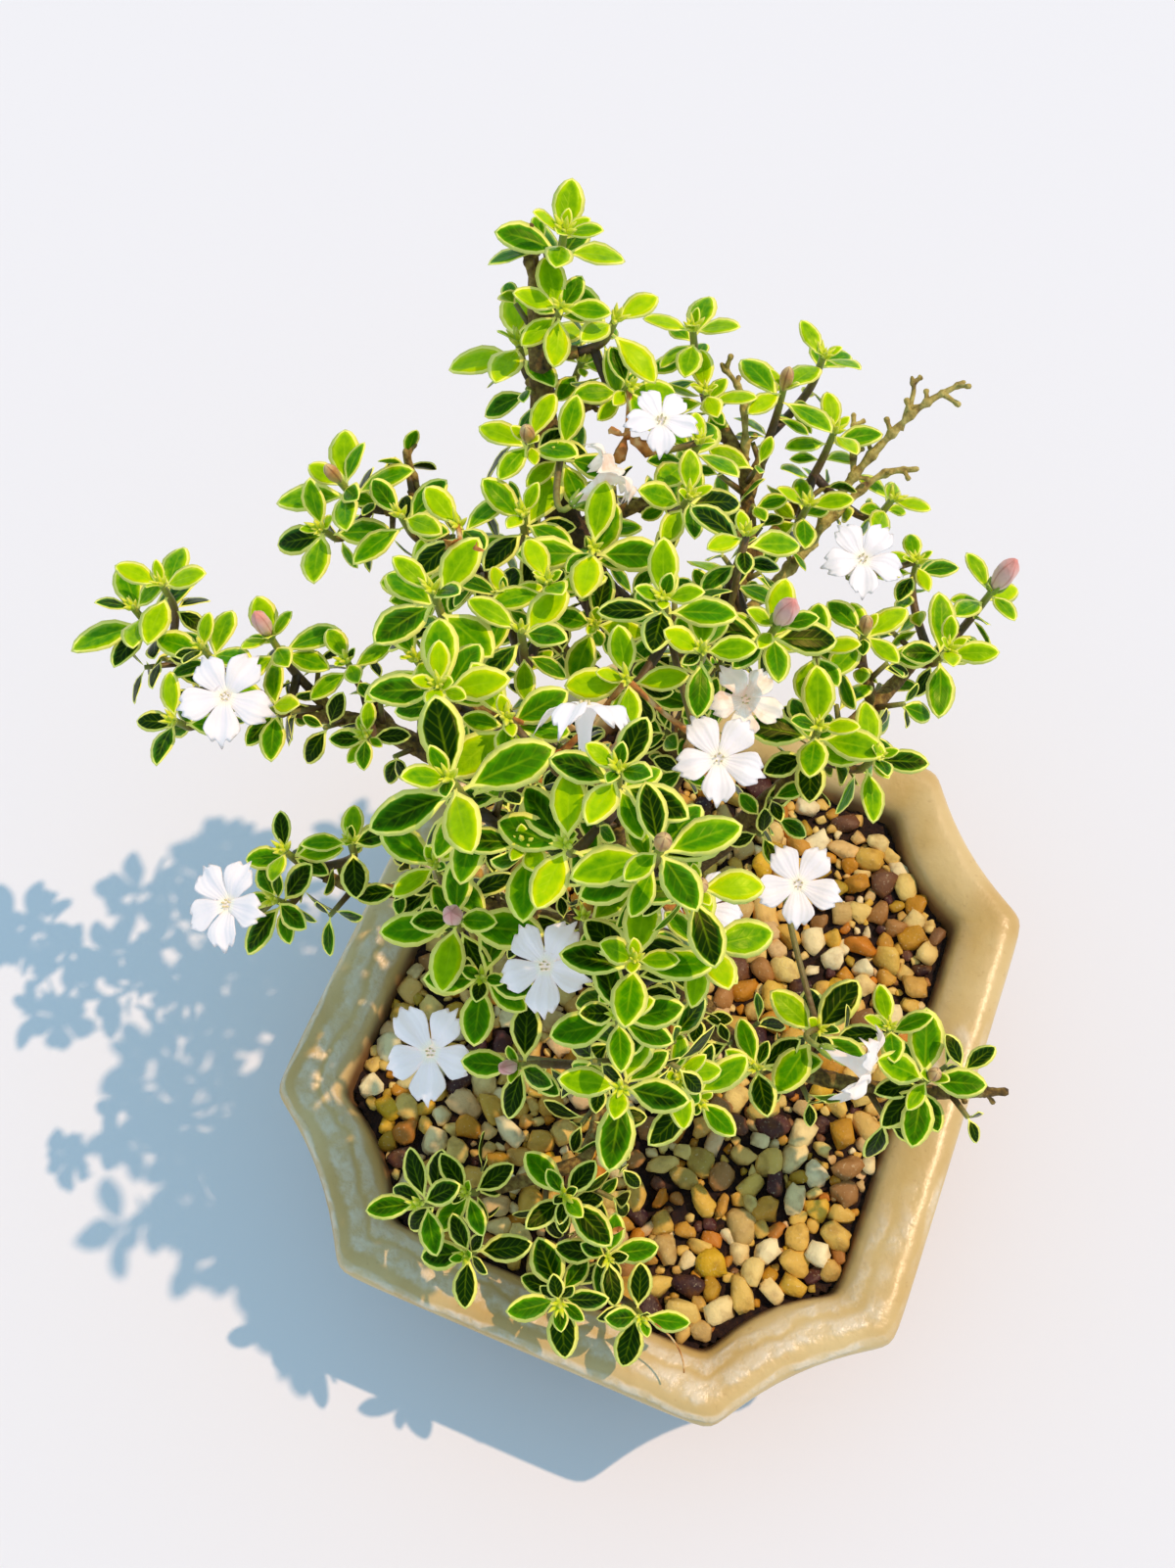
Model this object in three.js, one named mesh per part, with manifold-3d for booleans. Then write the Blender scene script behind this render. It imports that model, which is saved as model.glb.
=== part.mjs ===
// A serissa bonsai, variegated and in flower, in its glazed pot.
// Millimetres, +Z up. The pot stands on its feet at z = 0 and its sides follow X and Y.
import * as THREE from 'three';
import { mergeVertices } from 'three/addons/utils/BufferGeometryUtils.js';
import Module from 'manifold-3d';

const wasm = await Module();
wasm.setup();

// ---- driving sizes ----

const gap = 0.3; // clearance kept between neighbouring pieces

const pot = {
  halfWidth: 50, // centre to rim along X
  halfLength: 56, // centre to rim along Y
  corner: 20.5, // how far each corner is cut back along both sides
  scallop: 2.8, // how deep the cut corner curves inwards
  height: 38,
  footHeight: 4.5,
  footOuterInset: 14, // the foot ring's outer and inner faces, inwards from the rim's outline
  footInnerInset: 20,
  footReach: [17, 23], // along X and Y, where a corner foot ends towards the middle of a side
  floorTop: 9.5,
  drainRadius: 5.5,
  drainOffset: 17, // from the centre along Y
  drainSides: 14,
};

// Outside and inside of the pot's wall: height, and distance inwards from the rim's outline
const potOutside = [
  [4.5, 12.5],
  [8, 10.8],
  [24, 7.2],
  [30, 4.6],
  [31.4, 1.3],
  [33.2, 0.2],
  [36.2, 0],
  [37.6, 1.1],
];
const potInside = [
  [38, 3],
  [37.6, 6.2],
  [36, 8.6],
  [33, 9.7],
  [9.5, 15],
];

const soil = { top: 30.5 };
const gravel = { bottom: 30.8, top: 34, pebble: 8.8, relief: 2.4 };
const trunkFoot = { x: -2, y: 4, radius: 4.6, flare: 6.2, rootBottom: 15, rootRadius: 2.6, lean: 0.13 };
const screen = { size: 15, thickness: 0.9, hole: 4.4, pitch: 6 };

// A blade's width to its length, its thickness at the rib, how steeply it folds up along the rib, and the
// length above which it has two rings of corners rather than one
const leaf = { widthRatio: 0.5, ribThickness: 0.9, fold: 0.2, fullForm: 8.4 };
const stem = { radius: 0.78, tipRadius: 0.66, greenLength: 9 };
const corolla = { tube: 6.5, tubeRadius: 0.8, throatRadius: 1.5, petalThickness: 0.8, petals: 5 };
const tanBud = { length: 4.2, sink: 0.5, sides: 5, girth: 0.7 };
const pinkBudSides = 6;

// ---- where the wood grows: routes in mm and the radius at each end ----

const limbs = {
  trunk: {
    route: [[-2, 4, 30], [-5, 8, 54], [-8, 15, 76], [-15, 25, 97], [-22, 27, 105], [-29, 33, 110],
      [-35, 42, 114], [-38, 48, 122], [-41, 54, 131]],
    radius: [4.6, 1],
    sides: 6,
    steps: 9,
  },
  left: {
    route: [[-7, 12, 66], [-20, 10, 71], [-34, 9, 76], [-46, 9, 80], [-58, 8, 79], [-69, 5, 79]],
    radius: [2.2, 0.9],
  },
  highLeft: {
    route: [[-12, 21, 89], [-28, 23, 95], [-43, 29, 99], [-52, 34, 102]],
    radius: [1.7, 0.7],
  },
  crownLeft: {
    route: [[-6, 10, 62], [-11, 7, 84], [-20, 5, 101], [-25, 2, 113]],
    radius: [2.3, 1],
  },
  crownFront: {
    route: [[-4, 6, 46], [-3, -2, 78], [-5, -7, 100], [-4, -11, 114]],
    radius: [2.4, 1],
  },
  crownBack: {
    route: [[-8, 14, 72], [-5, 17, 92], [-6, 20, 110]],
    radius: [1.9, 0.9],
  },
  front: {
    route: [[-3, 0, 68], [0, -12, 84], [3, -20, 94], [5, -25, 96]],
    radius: [1.8, 0.8],
  },
  right: {
    route: [[-5, 9, 58], [5, 15, 78], [12, 24, 88], [17, 36, 88], [20, 46, 86]],
    radius: [2.1, 0.8],
  },
  back: {
    route: [[-9, 17, 78], [-6, 32, 88], [-7, 46, 96], [-12, 56, 103]],
    radius: [1.9, 0.8],
  },
  lowLeft: {
    route: [[-4, 6, 48], [-15, -3, 64], [-29, -9, 75], [-42, -14, 78]],
    radius: [2, 0.8],
  },
  lowRight: {
    route: [[-3, 5, 41], [9, -5, 52], [22, -9, 59], [36, -8, 62], [51, -3, 65]],
    radius: [2, 0.8],
  },
  hang: {
    route: [[-3, 4, 38], [-2, -12, 50], [0, -27, 55], [-1, -37, 50]],
    radius: [1.9, 0.8],
  },
};

// Bare twigs and snags, with no leaves left on them
const snags = [
  { route: [[-6, 36, 90], [0, 50, 94], [3, 60, 100], [8, 68, 107], [13, 73, 110]], radius: [1.3, 0.5] },
  { route: [[1, 54, 95], [6, 62, 99], [11, 64, 101]], radius: [0.9, 0.5] },
  { route: [[7, 66, 105], [7, 70, 108], [6, 72, 109]], radius: [0.6, 0.45] },
  { route: [[3, 60, 100], [1, 65, 103], [0, 68, 103]], radius: [0.6, 0.45] },
  { route: [[-38, 48, 122], [-40, 51, 130], [-43, 54, 134]], radius: [0.9, 0.7] },
  { route: [[-33, 40, 113], [-30, 44, 118], [-27, 46, 118]], radius: [0.9, 0.6] },
  { route: [[-48, 31, 100], [-52, 36, 102], [-54, 38, 105]], radius: [0.8, 0.6] },
  { route: [[-11, 55, 102], [-14, 60, 109], [-18, 62, 112]], radius: [0.7, 0.5] },
];

// ---- leafy shoots: the limb each stands on, how far along it, and its rosettes ----
// A rosette is [x, y, z of its heart, longest leaf, pairs of leaves, turn of the first pair in degrees]

const shoots = {
  far_left: { on: 'left', along: 0.97, hearts: [[-85, 10, 88, 11, 3, 42], [-81, 13, 92, 9, 2, 99]] },
  left_star: { on: 'left', along: 0.86, hearts: [[-72, 7, 90, 8.5, 3, 97], [-72, -3, 86, 8, 2, 20]] },
  left_bud: { on: 'left', along: 0.72, hearts: [[-64, 12, 90, 8.5, 3, 52], [-59, 2, 82, 8, 2, 110]] },
  left_inner: { on: 'left', along: 0.58, hearts: [[-53, 13, 89, 6.5, 2, 50], [-46, 4, 88, 6, 2, 20]] },
  high_left_tip: { on: 'highLeft', along: 0.9, hearts: [
    [-60, 30, 105, 10, 3, 30], [-61, 25, 100, 9, 2, 22]] },
  high_left_inner: { on: 'highLeft', along: 0.62, hearts: [
    [-50, 28, 105, 8.5, 2, 66], [-44, 22, 101, 7.5, 2, 20]] },
  crown_left_a: { on: 'crownLeft', along: 0.9, hearts: [
    [-35, 9, 123, 10, 3, 164], [-35, 3, 117, 7.5, 2, 49]] },
  crown_left_b: { on: 'highLeft', along: 0.4, hearts: [
    [-38, 22, 117, 7.5, 2, 60], [-31, 26, 118, 8.5, 3, 75]] },
  crown_left_c: { on: 'crownLeft', along: 0.7, hearts: [
    [-24, 9, 121, 8, 2, 82], [-29, 15, 117, 7, 2, 100],
    [-24, 17, 120, 7, 2, 40]] },
  crown_left_d: { on: 'crownLeft', along: 0.97, hearts: [
    [-28, -4, 127, 9, 3, 112], [-20, -4, 125, 8.5, 3, 55]] },
  crown_left_e: { on: 'crownFront', along: 0.86, hearts: [
    [-21, -16, 132, 10.5, 3, 37], [-15, -14, 118, 8, 2, 100]] },
  crown_left_f: { on: 'trunk', along: 0.55, hearts: [
    [-21, 24, 119, 9.5, 2, 17], [-18, 17, 114, 7.5, 2, 95]] },
  apex_tip: { on: 'trunk', along: 0.96, hearts: [[-38, 53, 136, 8.5, 3, 18], [-36, 47, 130, 7, 2, 112]] },
  apex_right: { on: 'trunk', along: 0.86, hearts: [[-29, 51, 127, 8, 2, 160], [-25, 46, 122, 7, 2, 40]] },
  apex_left: { on: 'trunk', along: 0.8, hearts: [[-41, 48, 121, 10.5, 2, 31], [-33, 50, 119, 6, 2, 90]] },
  shoulder_left: { on: 'trunk', along: 0.7, hearts: [[-34, 38, 118, 8, 2, 177], [-28, 34, 115, 8, 2, 12]] },
  shoulder_right: { on: 'trunk', along: 0.6, hearts: [
    [-15, 45, 117, 8.5, 3, 82], [-13, 36, 118, 7.5, 2, 30]] },
  back_left: { on: 'back', along: 0.96, hearts: [[-22, 61, 118, 7.5, 2, 95], [-18, 56, 113, 6.5, 2, 30]] },
  back_bud: { on: 'back', along: 0.85, hearts: [[-9, 62, 111, 8, 2, 150], [-6, 70, 110, 7, 2, 60]] },
  back_low: { on: 'back', along: 0.6, hearts: [
    [-1, 61, 107, 7, 2, 40], [-1, 52, 102, 7, 2, 112],
    [9, 61, 97, 6.5, 2, 80]] },
  crown_back: { on: 'crownBack', along: 0.9, hearts: [[-4, 30, 123, 8, 2, 160], [3, 22, 119, 8.5, 3, 18]] },
  crown_top: { on: 'crownBack', along: 0.97, hearts: [
    [-9, 15, 128, 8.5, 3, 12], [-10, 7, 122, 7.5, 2, 30],
    [-3, 12, 125, 7, 2, 100]] },
  right_low: { on: 'right', along: 0.42, hearts: [[11, 21, 101, 9.5, 3, 16], [19, 22, 97, 8.5, 3, 110]] },
  right_mid: { on: 'right', along: 0.7, hearts: [[12, 37, 100, 7.5, 2, 60], [7, 30, 104, 7, 2, 100]] },
  right_tip: { on: 'right', along: 0.95, hearts: [
    [23, 42, 95, 8.5, 3, 109], [26, 55, 92, 7, 2, 50],
    [15, 54, 93, 7, 2, 20]] },
  centre_a: { on: 'crownFront', along: 0.95, hearts: [
    [-5, -9, 133, 8.5, 3, 175], [-8, -16, 126, 9.5, 2, 8]] },
  centre_b: { on: 'crownFront', along: 0.8, hearts: [[2, -15, 132, 9, 3, 41], [6, -14, 122, 8, 2, 120]] },
  front_a: { on: 'front', along: 0.75, hearts: [
    [2, -21, 114, 9, 3, 15], [-6, -16, 107, 6.5, 2, 70],
    [8, -14, 108, 8.5, 2, 40]] },
  front_b: { on: 'front', along: 0.97, hearts: [
    [5, -32, 103, 9, 3, 106], [10, -22, 96, 7, 2, 30],
    [2, -26, 109, 8.5, 3, 33]] },
  front_low: { on: 'front', along: 0.5, hearts: [[13, -25, 84, 8, 2, 60], [-10, -29, 82, 8, 2, 100]] },
  low_left_tip: { on: 'lowLeft', along: 0.95, hearts: [
    [-50, -14, 84, 7, 2, 20], [-49, -20, 81, 8, 2, 70],
    [-42, -10, 85, 7, 2, 120]] },
  low_left_inner: { on: 'lowLeft', along: 0.6, hearts: [
    [-21, -20, 101, 10, 3, 20], [-27, -13, 97, 8.5, 2, 160],
    [-16, -24, 96, 8.5, 3, 105]] },
  low_right_inner: { on: 'lowRight', along: 0.55, hearts: [
    [24, -6, 70, 9.5, 3, 75], [18, -13, 66, 8.5, 2, 30]] },
  low_right_tip: { on: 'lowRight', along: 0.8, hearts: [
    [40, -7, 71, 9.5, 3, 100], [33, -2, 70, 7, 2, 30]] },
  hang_left: { on: 'hang', along: 0.8, hearts: [
    [-18, -46, 60, 8, 2, 125], [-13, -42, 58, 7, 2, 60],
    [-10, -49, 54, 8, 2, 30]] },
  hang_right: { on: 'hang', along: 0.97, hearts: [
    [4, -50, 52, 8.5, 3, 120], [8, -42, 53, 8, 2, 20],
    [15, -47, 49, 7.5, 2, 100], [-3, -38, 60, 8.5, 3, 150]] },
};

// ---- open flowers: the shoot each stands on, its throat, the way it faces and its breadth ----

const blooms = {
  flower_far_left: { on: 'left_star', throat: [-64, 0, 93], facing: [0.1, -0.3, 1], breadth: 14 },
  flower_low_left: { on: 'low_left_tip', throat: [-53, -24, 85], facing: [-0.3, -0.35, 1], breadth: 13.5 },
  flower_front_left: { on: 'front_low', throat: [-22, -30, 76], facing: [-0.2, -0.4, 1], breadth: 14 },
  flower_front: { on: 'front_a', throat: [-9, -21, 100], facing: [-0.2, -0.5, 1], breadth: 12.5 },
  flower_crown: { on: 'crown_left_d', throat: [-12, -1, 128], facing: [-0.32, 0.8, 0.5], breadth: 12 },
  flower_centre: { on: 'crown_top', throat: [2, 6, 113], facing: [0.2, -0.3, 1], breadth: 12 },
  flower_right: { on: 'low_right_inner', throat: [15, 7, 84], facing: [0.2, -0.3, 1], breadth: 12.5 },
  flower_low_right: { on: 'low_right_inner', throat: [31.5, -11.5, 78], facing: [1, -0.1, 0.05], breadth: 12 },
  flower_back_right: { on: 'right_tip', throat: [8.5, 45, 104], facing: [0.2, -0.2, 1], breadth: 11.5 },
  flower_back: { on: 'shoulder_right', throat: [-19, 41, 124], facing: [0.15, -0.1, 1], breadth: 9.5 },
  flower_shoulder: { on: 'shoulder_left', throat: [-22, 33.3, 122], facing: [0.53, 0.78, 0.34], breadth: 10 },
  flower_mid: { on: 'crown_back', throat: [2, 15.5, 111], facing: [0.4, -0.3, 1], breadth: 10 },
  flower_under: { on: 'front_low', throat: [5, -4, 92], facing: [0.1, -0.3, 1], breadth: 12 },
};

// Pink flower buds on a stalk of their shoot, and small tan buds that sit in a rosette's heart
const pinkBuds = {
  bud_left: { on: 'left_bud', heart: 0, length: 5 },
  bud_right: { on: 'right_tip', heart: 1, length: 6 },
  bud_crown: { on: 'crown_back', heart: 1, length: 5.5 },
  bud_front_left: { on: 'low_left_inner', heart: 0, length: 5 },
  bud_front: { on: 'front_low', heart: 1, length: 4 },
};
const tanBuds = {
  high_left_tip: [0],
  shoulder_left: [0],
  back_bud: [0],
  right_mid: [0],
  centre_b: [0, 1],
  low_right_tip: [0],
};

const paint = {
  pot: { color: 0xd2b06c, roughness: 0.25 },
  screen: { color: 0x2b2e2c, roughness: 0.6 },
  soil: { color: 0x2a2018, roughness: 1 },
  gravel: { color: 0xb78a55, roughness: 0.7 },
  wood: { color: 0x5a4526, roughness: 0.9 },
  leaf: { color: 0x5f9a14, roughness: 0.45 },
  petal: { color: 0xf5f1f2, roughness: 0.6 },
  bud: { color: 0xd9a3a0, roughness: 0.5 },
};

// ---- small tools ----

const up = new THREE.Vector3(0, 0, 1);
const front = new THREE.Vector3(0.16, -0.4, 0.9);
const point = ([x, y, z]) => new THREE.Vector3(x, y, z);
const radians = THREE.MathUtils.degToRad;

// A repeatable stream of numbers from 0 to 1
function makeRandom(seed) {
  let state = seed | 0;
  return () => {
    state = (state + 0x6d2b79f5) | 0;
    let mixed = Math.imul(state ^ (state >>> 15), 1 | state);
    mixed = (mixed + Math.imul(mixed ^ (mixed >>> 7), 61 | mixed)) ^ mixed;
    return ((mixed ^ (mixed >>> 14)) >>> 0) / 4294967296;
  };
}

function meshOf(vertices, triangles) {
  const geometry = new THREE.BufferGeometry();
  const flat = vertices.flatMap((vertex) => [vertex.x, vertex.y, vertex.z]);
  geometry.setAttribute('position', new THREE.Float32BufferAttribute(flat, 3));
  geometry.setIndex(triangles.flat());
  return geometry;
}

function solidOf(geometry) {
  const bare = geometry.clone();
  bare.deleteAttribute('normal');
  bare.deleteAttribute('uv');
  const merged = mergeVertices(bare, 1e-4);
  const vertProperties = new Float32Array(merged.attributes.position.array);
  const triVerts = new Uint32Array(merged.index.array);
  return new wasm.Manifold(new wasm.Mesh({ numProp: 3, vertProperties, triVerts }));
}

function geometryOf(solid) {
  const mesh = solid.getMesh();
  const geometry = new THREE.BufferGeometry();
  geometry.setAttribute('position', new THREE.BufferAttribute(new Float32Array(mesh.vertProperties), 3));
  geometry.setIndex(new THREE.BufferAttribute(new Uint32Array(mesh.triVerts), 1));
  geometry.computeVertexNormals();
  return geometry;
}

// Joins a list of solids two by two, which keeps each join small
function joined(solids) {
  let round = [...solids];
  while (round.length > 1) {
    const next = [];
    for (let index = 0; index + 1 < round.length; index += 2) next.push(round[index].add(round[index + 1]));
    if (round.length % 2) next.push(round[round.length - 1]);
    round = next;
  }
  return round[0];
}

// Skins a stack of closed rings, with a flat fan over the first and the last
function loft(rings) {
  const count = rings[0].length;
  const last = (rings.length - 1) * count;
  const vertices = rings.flat();
  const triangles = [];
  for (let ring = 0; ring + 1 < rings.length; ring += 1) {
    for (let side = 0; side < count; side += 1) {
      const a = ring * count + side;
      const b = ring * count + ((side + 1) % count);
      triangles.push([a, b, b + count], [a, b + count, a + count]);
    }
  }
  for (const [start, flip] of [[0, true], [last, false]]) {
    if (count < 5) {
      for (let side = 1; side + 1 < count; side += 1) {
        const [a, b] = [start + side, start + side + 1];
        triangles.push(flip ? [start, b, a] : [start, a, b]);
      }
      continue;
    }
    const middle = new THREE.Vector3();
    for (let side = 0; side < count; side += 1) middle.addScaledVector(vertices[start + side], 1 / count);
    const centre = vertices.push(middle) - 1;
    for (let side = 0; side < count; side += 1) {
      const a = start + side;
      const b = start + ((side + 1) % count);
      triangles.push(flip ? [centre, b, a] : [centre, a, b]);
    }
  }
  return meshOf(vertices, triangles);
}

// A tapering stem of few sides, with a ring at each of its stops along a curve
function taperedStem(pointAt, stops, startRadius, endRadius, sides) {
  const step = 1e-3;
  const normal = new THREE.Vector3();
  const rings = stops.map((along, ring) => {
    const tangent = pointAt(along + step).sub(pointAt(along - step)).normalize();
    if (ring === 0) normal.set(tangent.z, tangent.x, tangent.y);
    normal.addScaledVector(tangent, -normal.dot(tangent)).normalize();
    const side = tangent.clone().cross(normal);
    const radius = startRadius + ((endRadius - startRadius) * ring) / (stops.length - 1);
    const centre = pointAt(along);
    return Array.from({ length: sides }, (_, corner) => {
      const angle = (2 * Math.PI * corner) / sides;
      return centre.clone()
        .addScaledVector(normal, radius * Math.cos(angle))
        .addScaledVector(side, radius * Math.sin(angle));
    });
  });
  return loft(rings);
}

// Even stops along a stretch of a curve
function evenStops(from, to, steps) {
  return Array.from({ length: steps + 1 }, (_, ring) => from + ((to - from) * ring) / steps);
}

// A smooth curve through a route, open-ended so that it can be read a little past its ends
function smoothRoute(route) {
  const points = route.map(point);
  const count = points.length - 1;
  const before = points[0].clone().multiplyScalar(2).sub(points[1]);
  const after = points[count].clone().multiplyScalar(2).sub(points[count - 1]);
  const all = [before, ...points, after];
  return (along) => {
    const place = along * count;
    const piece = Math.min(Math.max(Math.floor(place), 0), count - 1);
    const t = place - piece;
    const [p0, p1, p2, p3] = all.slice(piece, piece + 4);
    return p1.clone().multiplyScalar(2 - 5 * t * t + 3 * t * t * t)
      .addScaledVector(p0, -t + 2 * t * t - t * t * t)
      .addScaledVector(p2, t + 4 * t * t - 3 * t * t * t)
      .addScaledVector(p3, -t * t + t * t * t)
      .multiplyScalar(0.5);
  };
}

// A bowed line from start to end that arrives along axis and runs on straight from there
function bow(start, end, axis, stiffness) {
  const span = end.distanceTo(start);
  const control = end.clone().addScaledVector(axis, -stiffness * span);
  return (t) => {
    if (t > 1) return end.clone().addScaledVector(axis, span * (t - 1));
    return start.clone().multiplyScalar((1 - t) * (1 - t))
      .addScaledVector(control, 2 * t * (1 - t))
      .addScaledVector(end, t * t);
  };
}

// ---- pot, soil, gravel and drain screens ----

// The pot's outline moved inwards by an inset: four straight sides and four scalloped corners
function potOutline(inset, height) {
  const halfWidth = pot.halfWidth - inset;
  const halfLength = pot.halfLength - inset;
  const cut = pot.corner - inset * (2 - Math.SQRT2);
  const tipRun = 3.6; // the length of side that the soft turn into a corner takes up
  const tipSoftening = 0.3;
  const arcPoints = 5;
  const points = [];
  for (const [signX, signY] of [[1, 1], [-1, 1], [-1, -1], [1, -1]]) {
    const tips = [[halfWidth, halfLength - cut], [halfWidth - cut, halfLength]];
    if (signX * signY < 0) tips.reverse();
    const [[x0, y0], [x1, y1]] = tips;
    const edgeFirst = signX * signY > 0;
    const corner = [];
    for (let index = 0; index < arcPoints; index += 1) {
      const t = index / (arcPoints - 1);
      const dip = pot.scallop * Math.sin(Math.PI * t) ** 0.8 * Math.SQRT1_2;
      const soft = t === 0 || t === 1 ? tipSoftening : 0;
      corner.push([x0 + (x1 - x0) * t - dip - soft, y0 + (y1 - y0) * t - dip - soft]);
    }
    const [runX, runY] = edgeFirst ? [0, 1] : [1, 0];
    corner.unshift([x0 - runX * tipRun, y0 - runY * tipRun]);
    corner.push([x1 - runY * tipRun, y1 - runX * tipRun]);
    for (const [x, y] of corner) points.push(new THREE.Vector3(signX * x, signY * y, height));
  }
  return points;
}

function makePot() {
  const rings = [...potOutside, ...potInside].map(([height, inset]) => potOutline(inset, height));
  const sunk = pot.footHeight + 1; // how high the feet reach into the floor
  const outerLean = 1.1;
  let body = solidOf(loft(rings));
  const footBand = [potOutline(pot.footOuterInset, 0), potOutline(pot.footOuterInset - outerLean, sunk)];
  const footOuter = solidOf(loft(footBand));
  const footInner = solidOf(loft([-1, sunk + 1].map((height) => potOutline(pot.footInnerInset, height))));
  const corners = [];
  const [reachX, reachY] = pot.footReach;
  for (const signX of [-1, 1]) {
    for (const signY of [-1, 1]) {
      const corner = new THREE.BoxGeometry(pot.halfWidth - reachX, pot.halfLength - reachY, 2 * pot.height);
      corner.translate((signX * (pot.halfWidth + reachX)) / 2, (signY * (pot.halfLength + reachY)) / 2, 0);
      corners.push(solidOf(corner));
    }
  }
  const feet = footOuter.subtract(footInner).intersect(joined(corners));
  body = body.add(feet);
  for (const side of [-1, 1]) {
    const depth = 2 * pot.floorTop;
    const drain = new THREE.CylinderGeometry(pot.drainRadius, pot.drainRadius, depth, pot.drainSides);
    drain.rotateX(Math.PI / 2);
    drain.translate(0, side * pot.drainOffset, pot.floorTop);
    body = body.subtract(solidOf(drain));
  }
  return body;
}

// Insets of the inside wall at a height, with the clearance that the filling keeps
function fillingInset(height) {
  const [[topHeight, topInset], [floorHeight, floorInset]] = potInside.slice(-2);
  const share = (topHeight - height) / (topHeight - floorHeight);
  return topInset + (floorInset - topInset) * Math.max(share, 0) + gap * 1.2;
}

function upright(radius, bottom, top, sides) {
  const rod = new THREE.CylinderGeometry(radius, radius, top - bottom, sides);
  rod.rotateX(Math.PI / 2);
  rod.translate(trunkFoot.x, trunkFoot.y, (top + bottom) / 2);
  return solidOf(rod);
}

function makeSoil() {
  const bottom = pot.floorTop + gap;
  const heights = [bottom, soil.top];
  let body = solidOf(loft(heights.map((height) => potOutline(fillingInset(height), height))));
  const recess = screen.size + 2 * gap;
  for (const side of [-1, 1]) {
    const pocket = new THREE.BoxGeometry(recess, recess, 2 * (screen.thickness + 2 * gap));
    pocket.translate(0, side * pot.drainOffset, pot.floorTop);
    body = body.subtract(solidOf(pocket));
  }
  const sides = 10;
  const clear = (trunkFoot.radius + gap) / Math.cos(Math.PI / sides);
  return body.subtract(upright(clear, trunkFoot.rootBottom - gap, soil.top + 1, sides));
}

// Pebbles as a carpet of low domes on a staggered net: each dome's hub stands over six sunk seam points
function makeGravel() {
  const rowStep = gravel.pebble * 0.87;
  const rows = Math.ceil(pot.halfLength / rowStep);
  const columns = Math.ceil(pot.halfWidth / gravel.pebble) + 1;
  const depthBelow = gravel.bottom - 5;
  const hubJitter = 0.3; // shares of a pebble by which a hub and a seam point may move
  const seamJitter = 0.16;
  const heightJitter = 0.7;
  const flatHub = (column, row) => [(column + (Math.abs(row) % 2) / 2) * gravel.pebble, row * rowStep];
  const random = makeRandom(41);
  const vertices = [];
  const indexOf = new Map();
  const vertexAt = (places, height) => {
    const key = places.map((place) => place.join()).sort().join(';');
    if (!indexOf.has(key)) {
      const jitter = gravel.pebble * (places.length === 1 ? hubJitter : seamJitter);
      const corners = places.map(([column, row]) => flatHub(column, row));
      const x = corners.reduce((sum, corner) => sum + corner[0], 0) / corners.length;
      const y = corners.reduce((sum, corner) => sum + corner[1], 0) / corners.length;
      const shifted = new THREE.Vector3(x + jitter * (random() - 0.5), y + jitter * (random() - 0.5), height);
      shifted.z -= heightJitter * random();
      indexOf.set(key, vertices.push(shifted) - 1);
    }
    return indexOf.get(key);
  };
  const triangles = [];
  for (let row = -rows; row <= rows; row += 1) {
    for (let column = -columns; column <= columns; column += 1) {
      const shift = Math.abs(row) % 2;
      const around = [[column + 1, row], [column + shift, row + 1], [column + shift - 1, row + 1],
        [column - 1, row], [column + shift - 1, row - 1], [column + shift, row - 1]];
      const hub = vertexAt([[column, row]], gravel.top);
      const seams = around.map((place, index) => (
        vertexAt([[column, row], place, around[(index + 1) % 6]], gravel.top - gravel.relief)));
      seams.forEach((seam, index) => triangles.push([hub, seam, seams[(index + 1) % 6]]));
    }
  }
  const count = vertices.length;
  const floorVertices = vertices.map((vertex) => new THREE.Vector3(vertex.x, vertex.y, depthBelow));
  const floorTriangles = triangles.map(([a, b, c]) => [a + count, c + count, b + count]);
  const edges = new Map();
  for (const [a, b, c] of triangles) {
    for (const [from, to] of [[a, b], [b, c], [c, a]]) edges.set(`${from},${to}`, [from, to]);
  }
  const skirt = [];
  for (const [from, to] of edges.values()) {
    if (!edges.has(`${to},${from}`)) skirt.push([to, from, from + count], [to, from + count, to + count]);
  }
  const carpet = solidOf(meshOf([...vertices, ...floorVertices], [...triangles, ...floorTriangles, ...skirt]));
  const heights = [gravel.bottom, gravel.top + 2];
  const inset = fillingInset(gravel.bottom);
  const bed = solidOf(loft(heights.map((height) => potOutline(inset, height))));
  const sides = 12;
  const clear = (trunkFoot.flare + gap) / Math.cos(Math.PI / sides);
  return bed.intersect(carpet).subtract(upright(clear, gravel.bottom - 1, gravel.top + 2, sides));
}

// A square screen of mesh over a drain hole
function makeScreen(side) {
  const plate = new THREE.BoxGeometry(screen.size, screen.size, screen.thickness);
  let sheet = solidOf(plate);
  for (const column of [-0.5, 0.5]) {
    for (const row of [-0.5, 0.5]) {
      const hole = new THREE.BoxGeometry(screen.hole, screen.hole, 2 * screen.thickness);
      hole.translate(column * screen.pitch, row * screen.pitch, 0);
      sheet = sheet.subtract(solidOf(hole));
    }
  }
  const height = pot.floorTop + gap + screen.thickness / 2;
  return solidOf(geometryOf(sheet).translate(0, side * pot.drainOffset, height));
}

// ---- the plant ----

const limbCurves = {};
for (const [name, { route }] of Object.entries(limbs)) {
  limbCurves[name] = smoothRoute(route);
}

// Everything placed so far, as small solids with their boxes, so that a new piece can be tried against them
const placed = [];

function boxOf(solid) {
  const box = new THREE.Box3();
  const { vertProperties } = solid.getMesh();
  box.setFromArray(vertProperties);
  return box;
}

function place(owner, solid, group = owner, stem = false) {
  placed.push({ owner, group, stem, solid, box: boxOf(solid) });
}

function isClear(solid, group) {
  const box = boxOf(solid);
  return placed.every((other) => other.owner === group || !other.box.intersectsBox(box)
    || other.solid.intersect(solid).getMesh().triVerts.length === 0);
}

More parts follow.
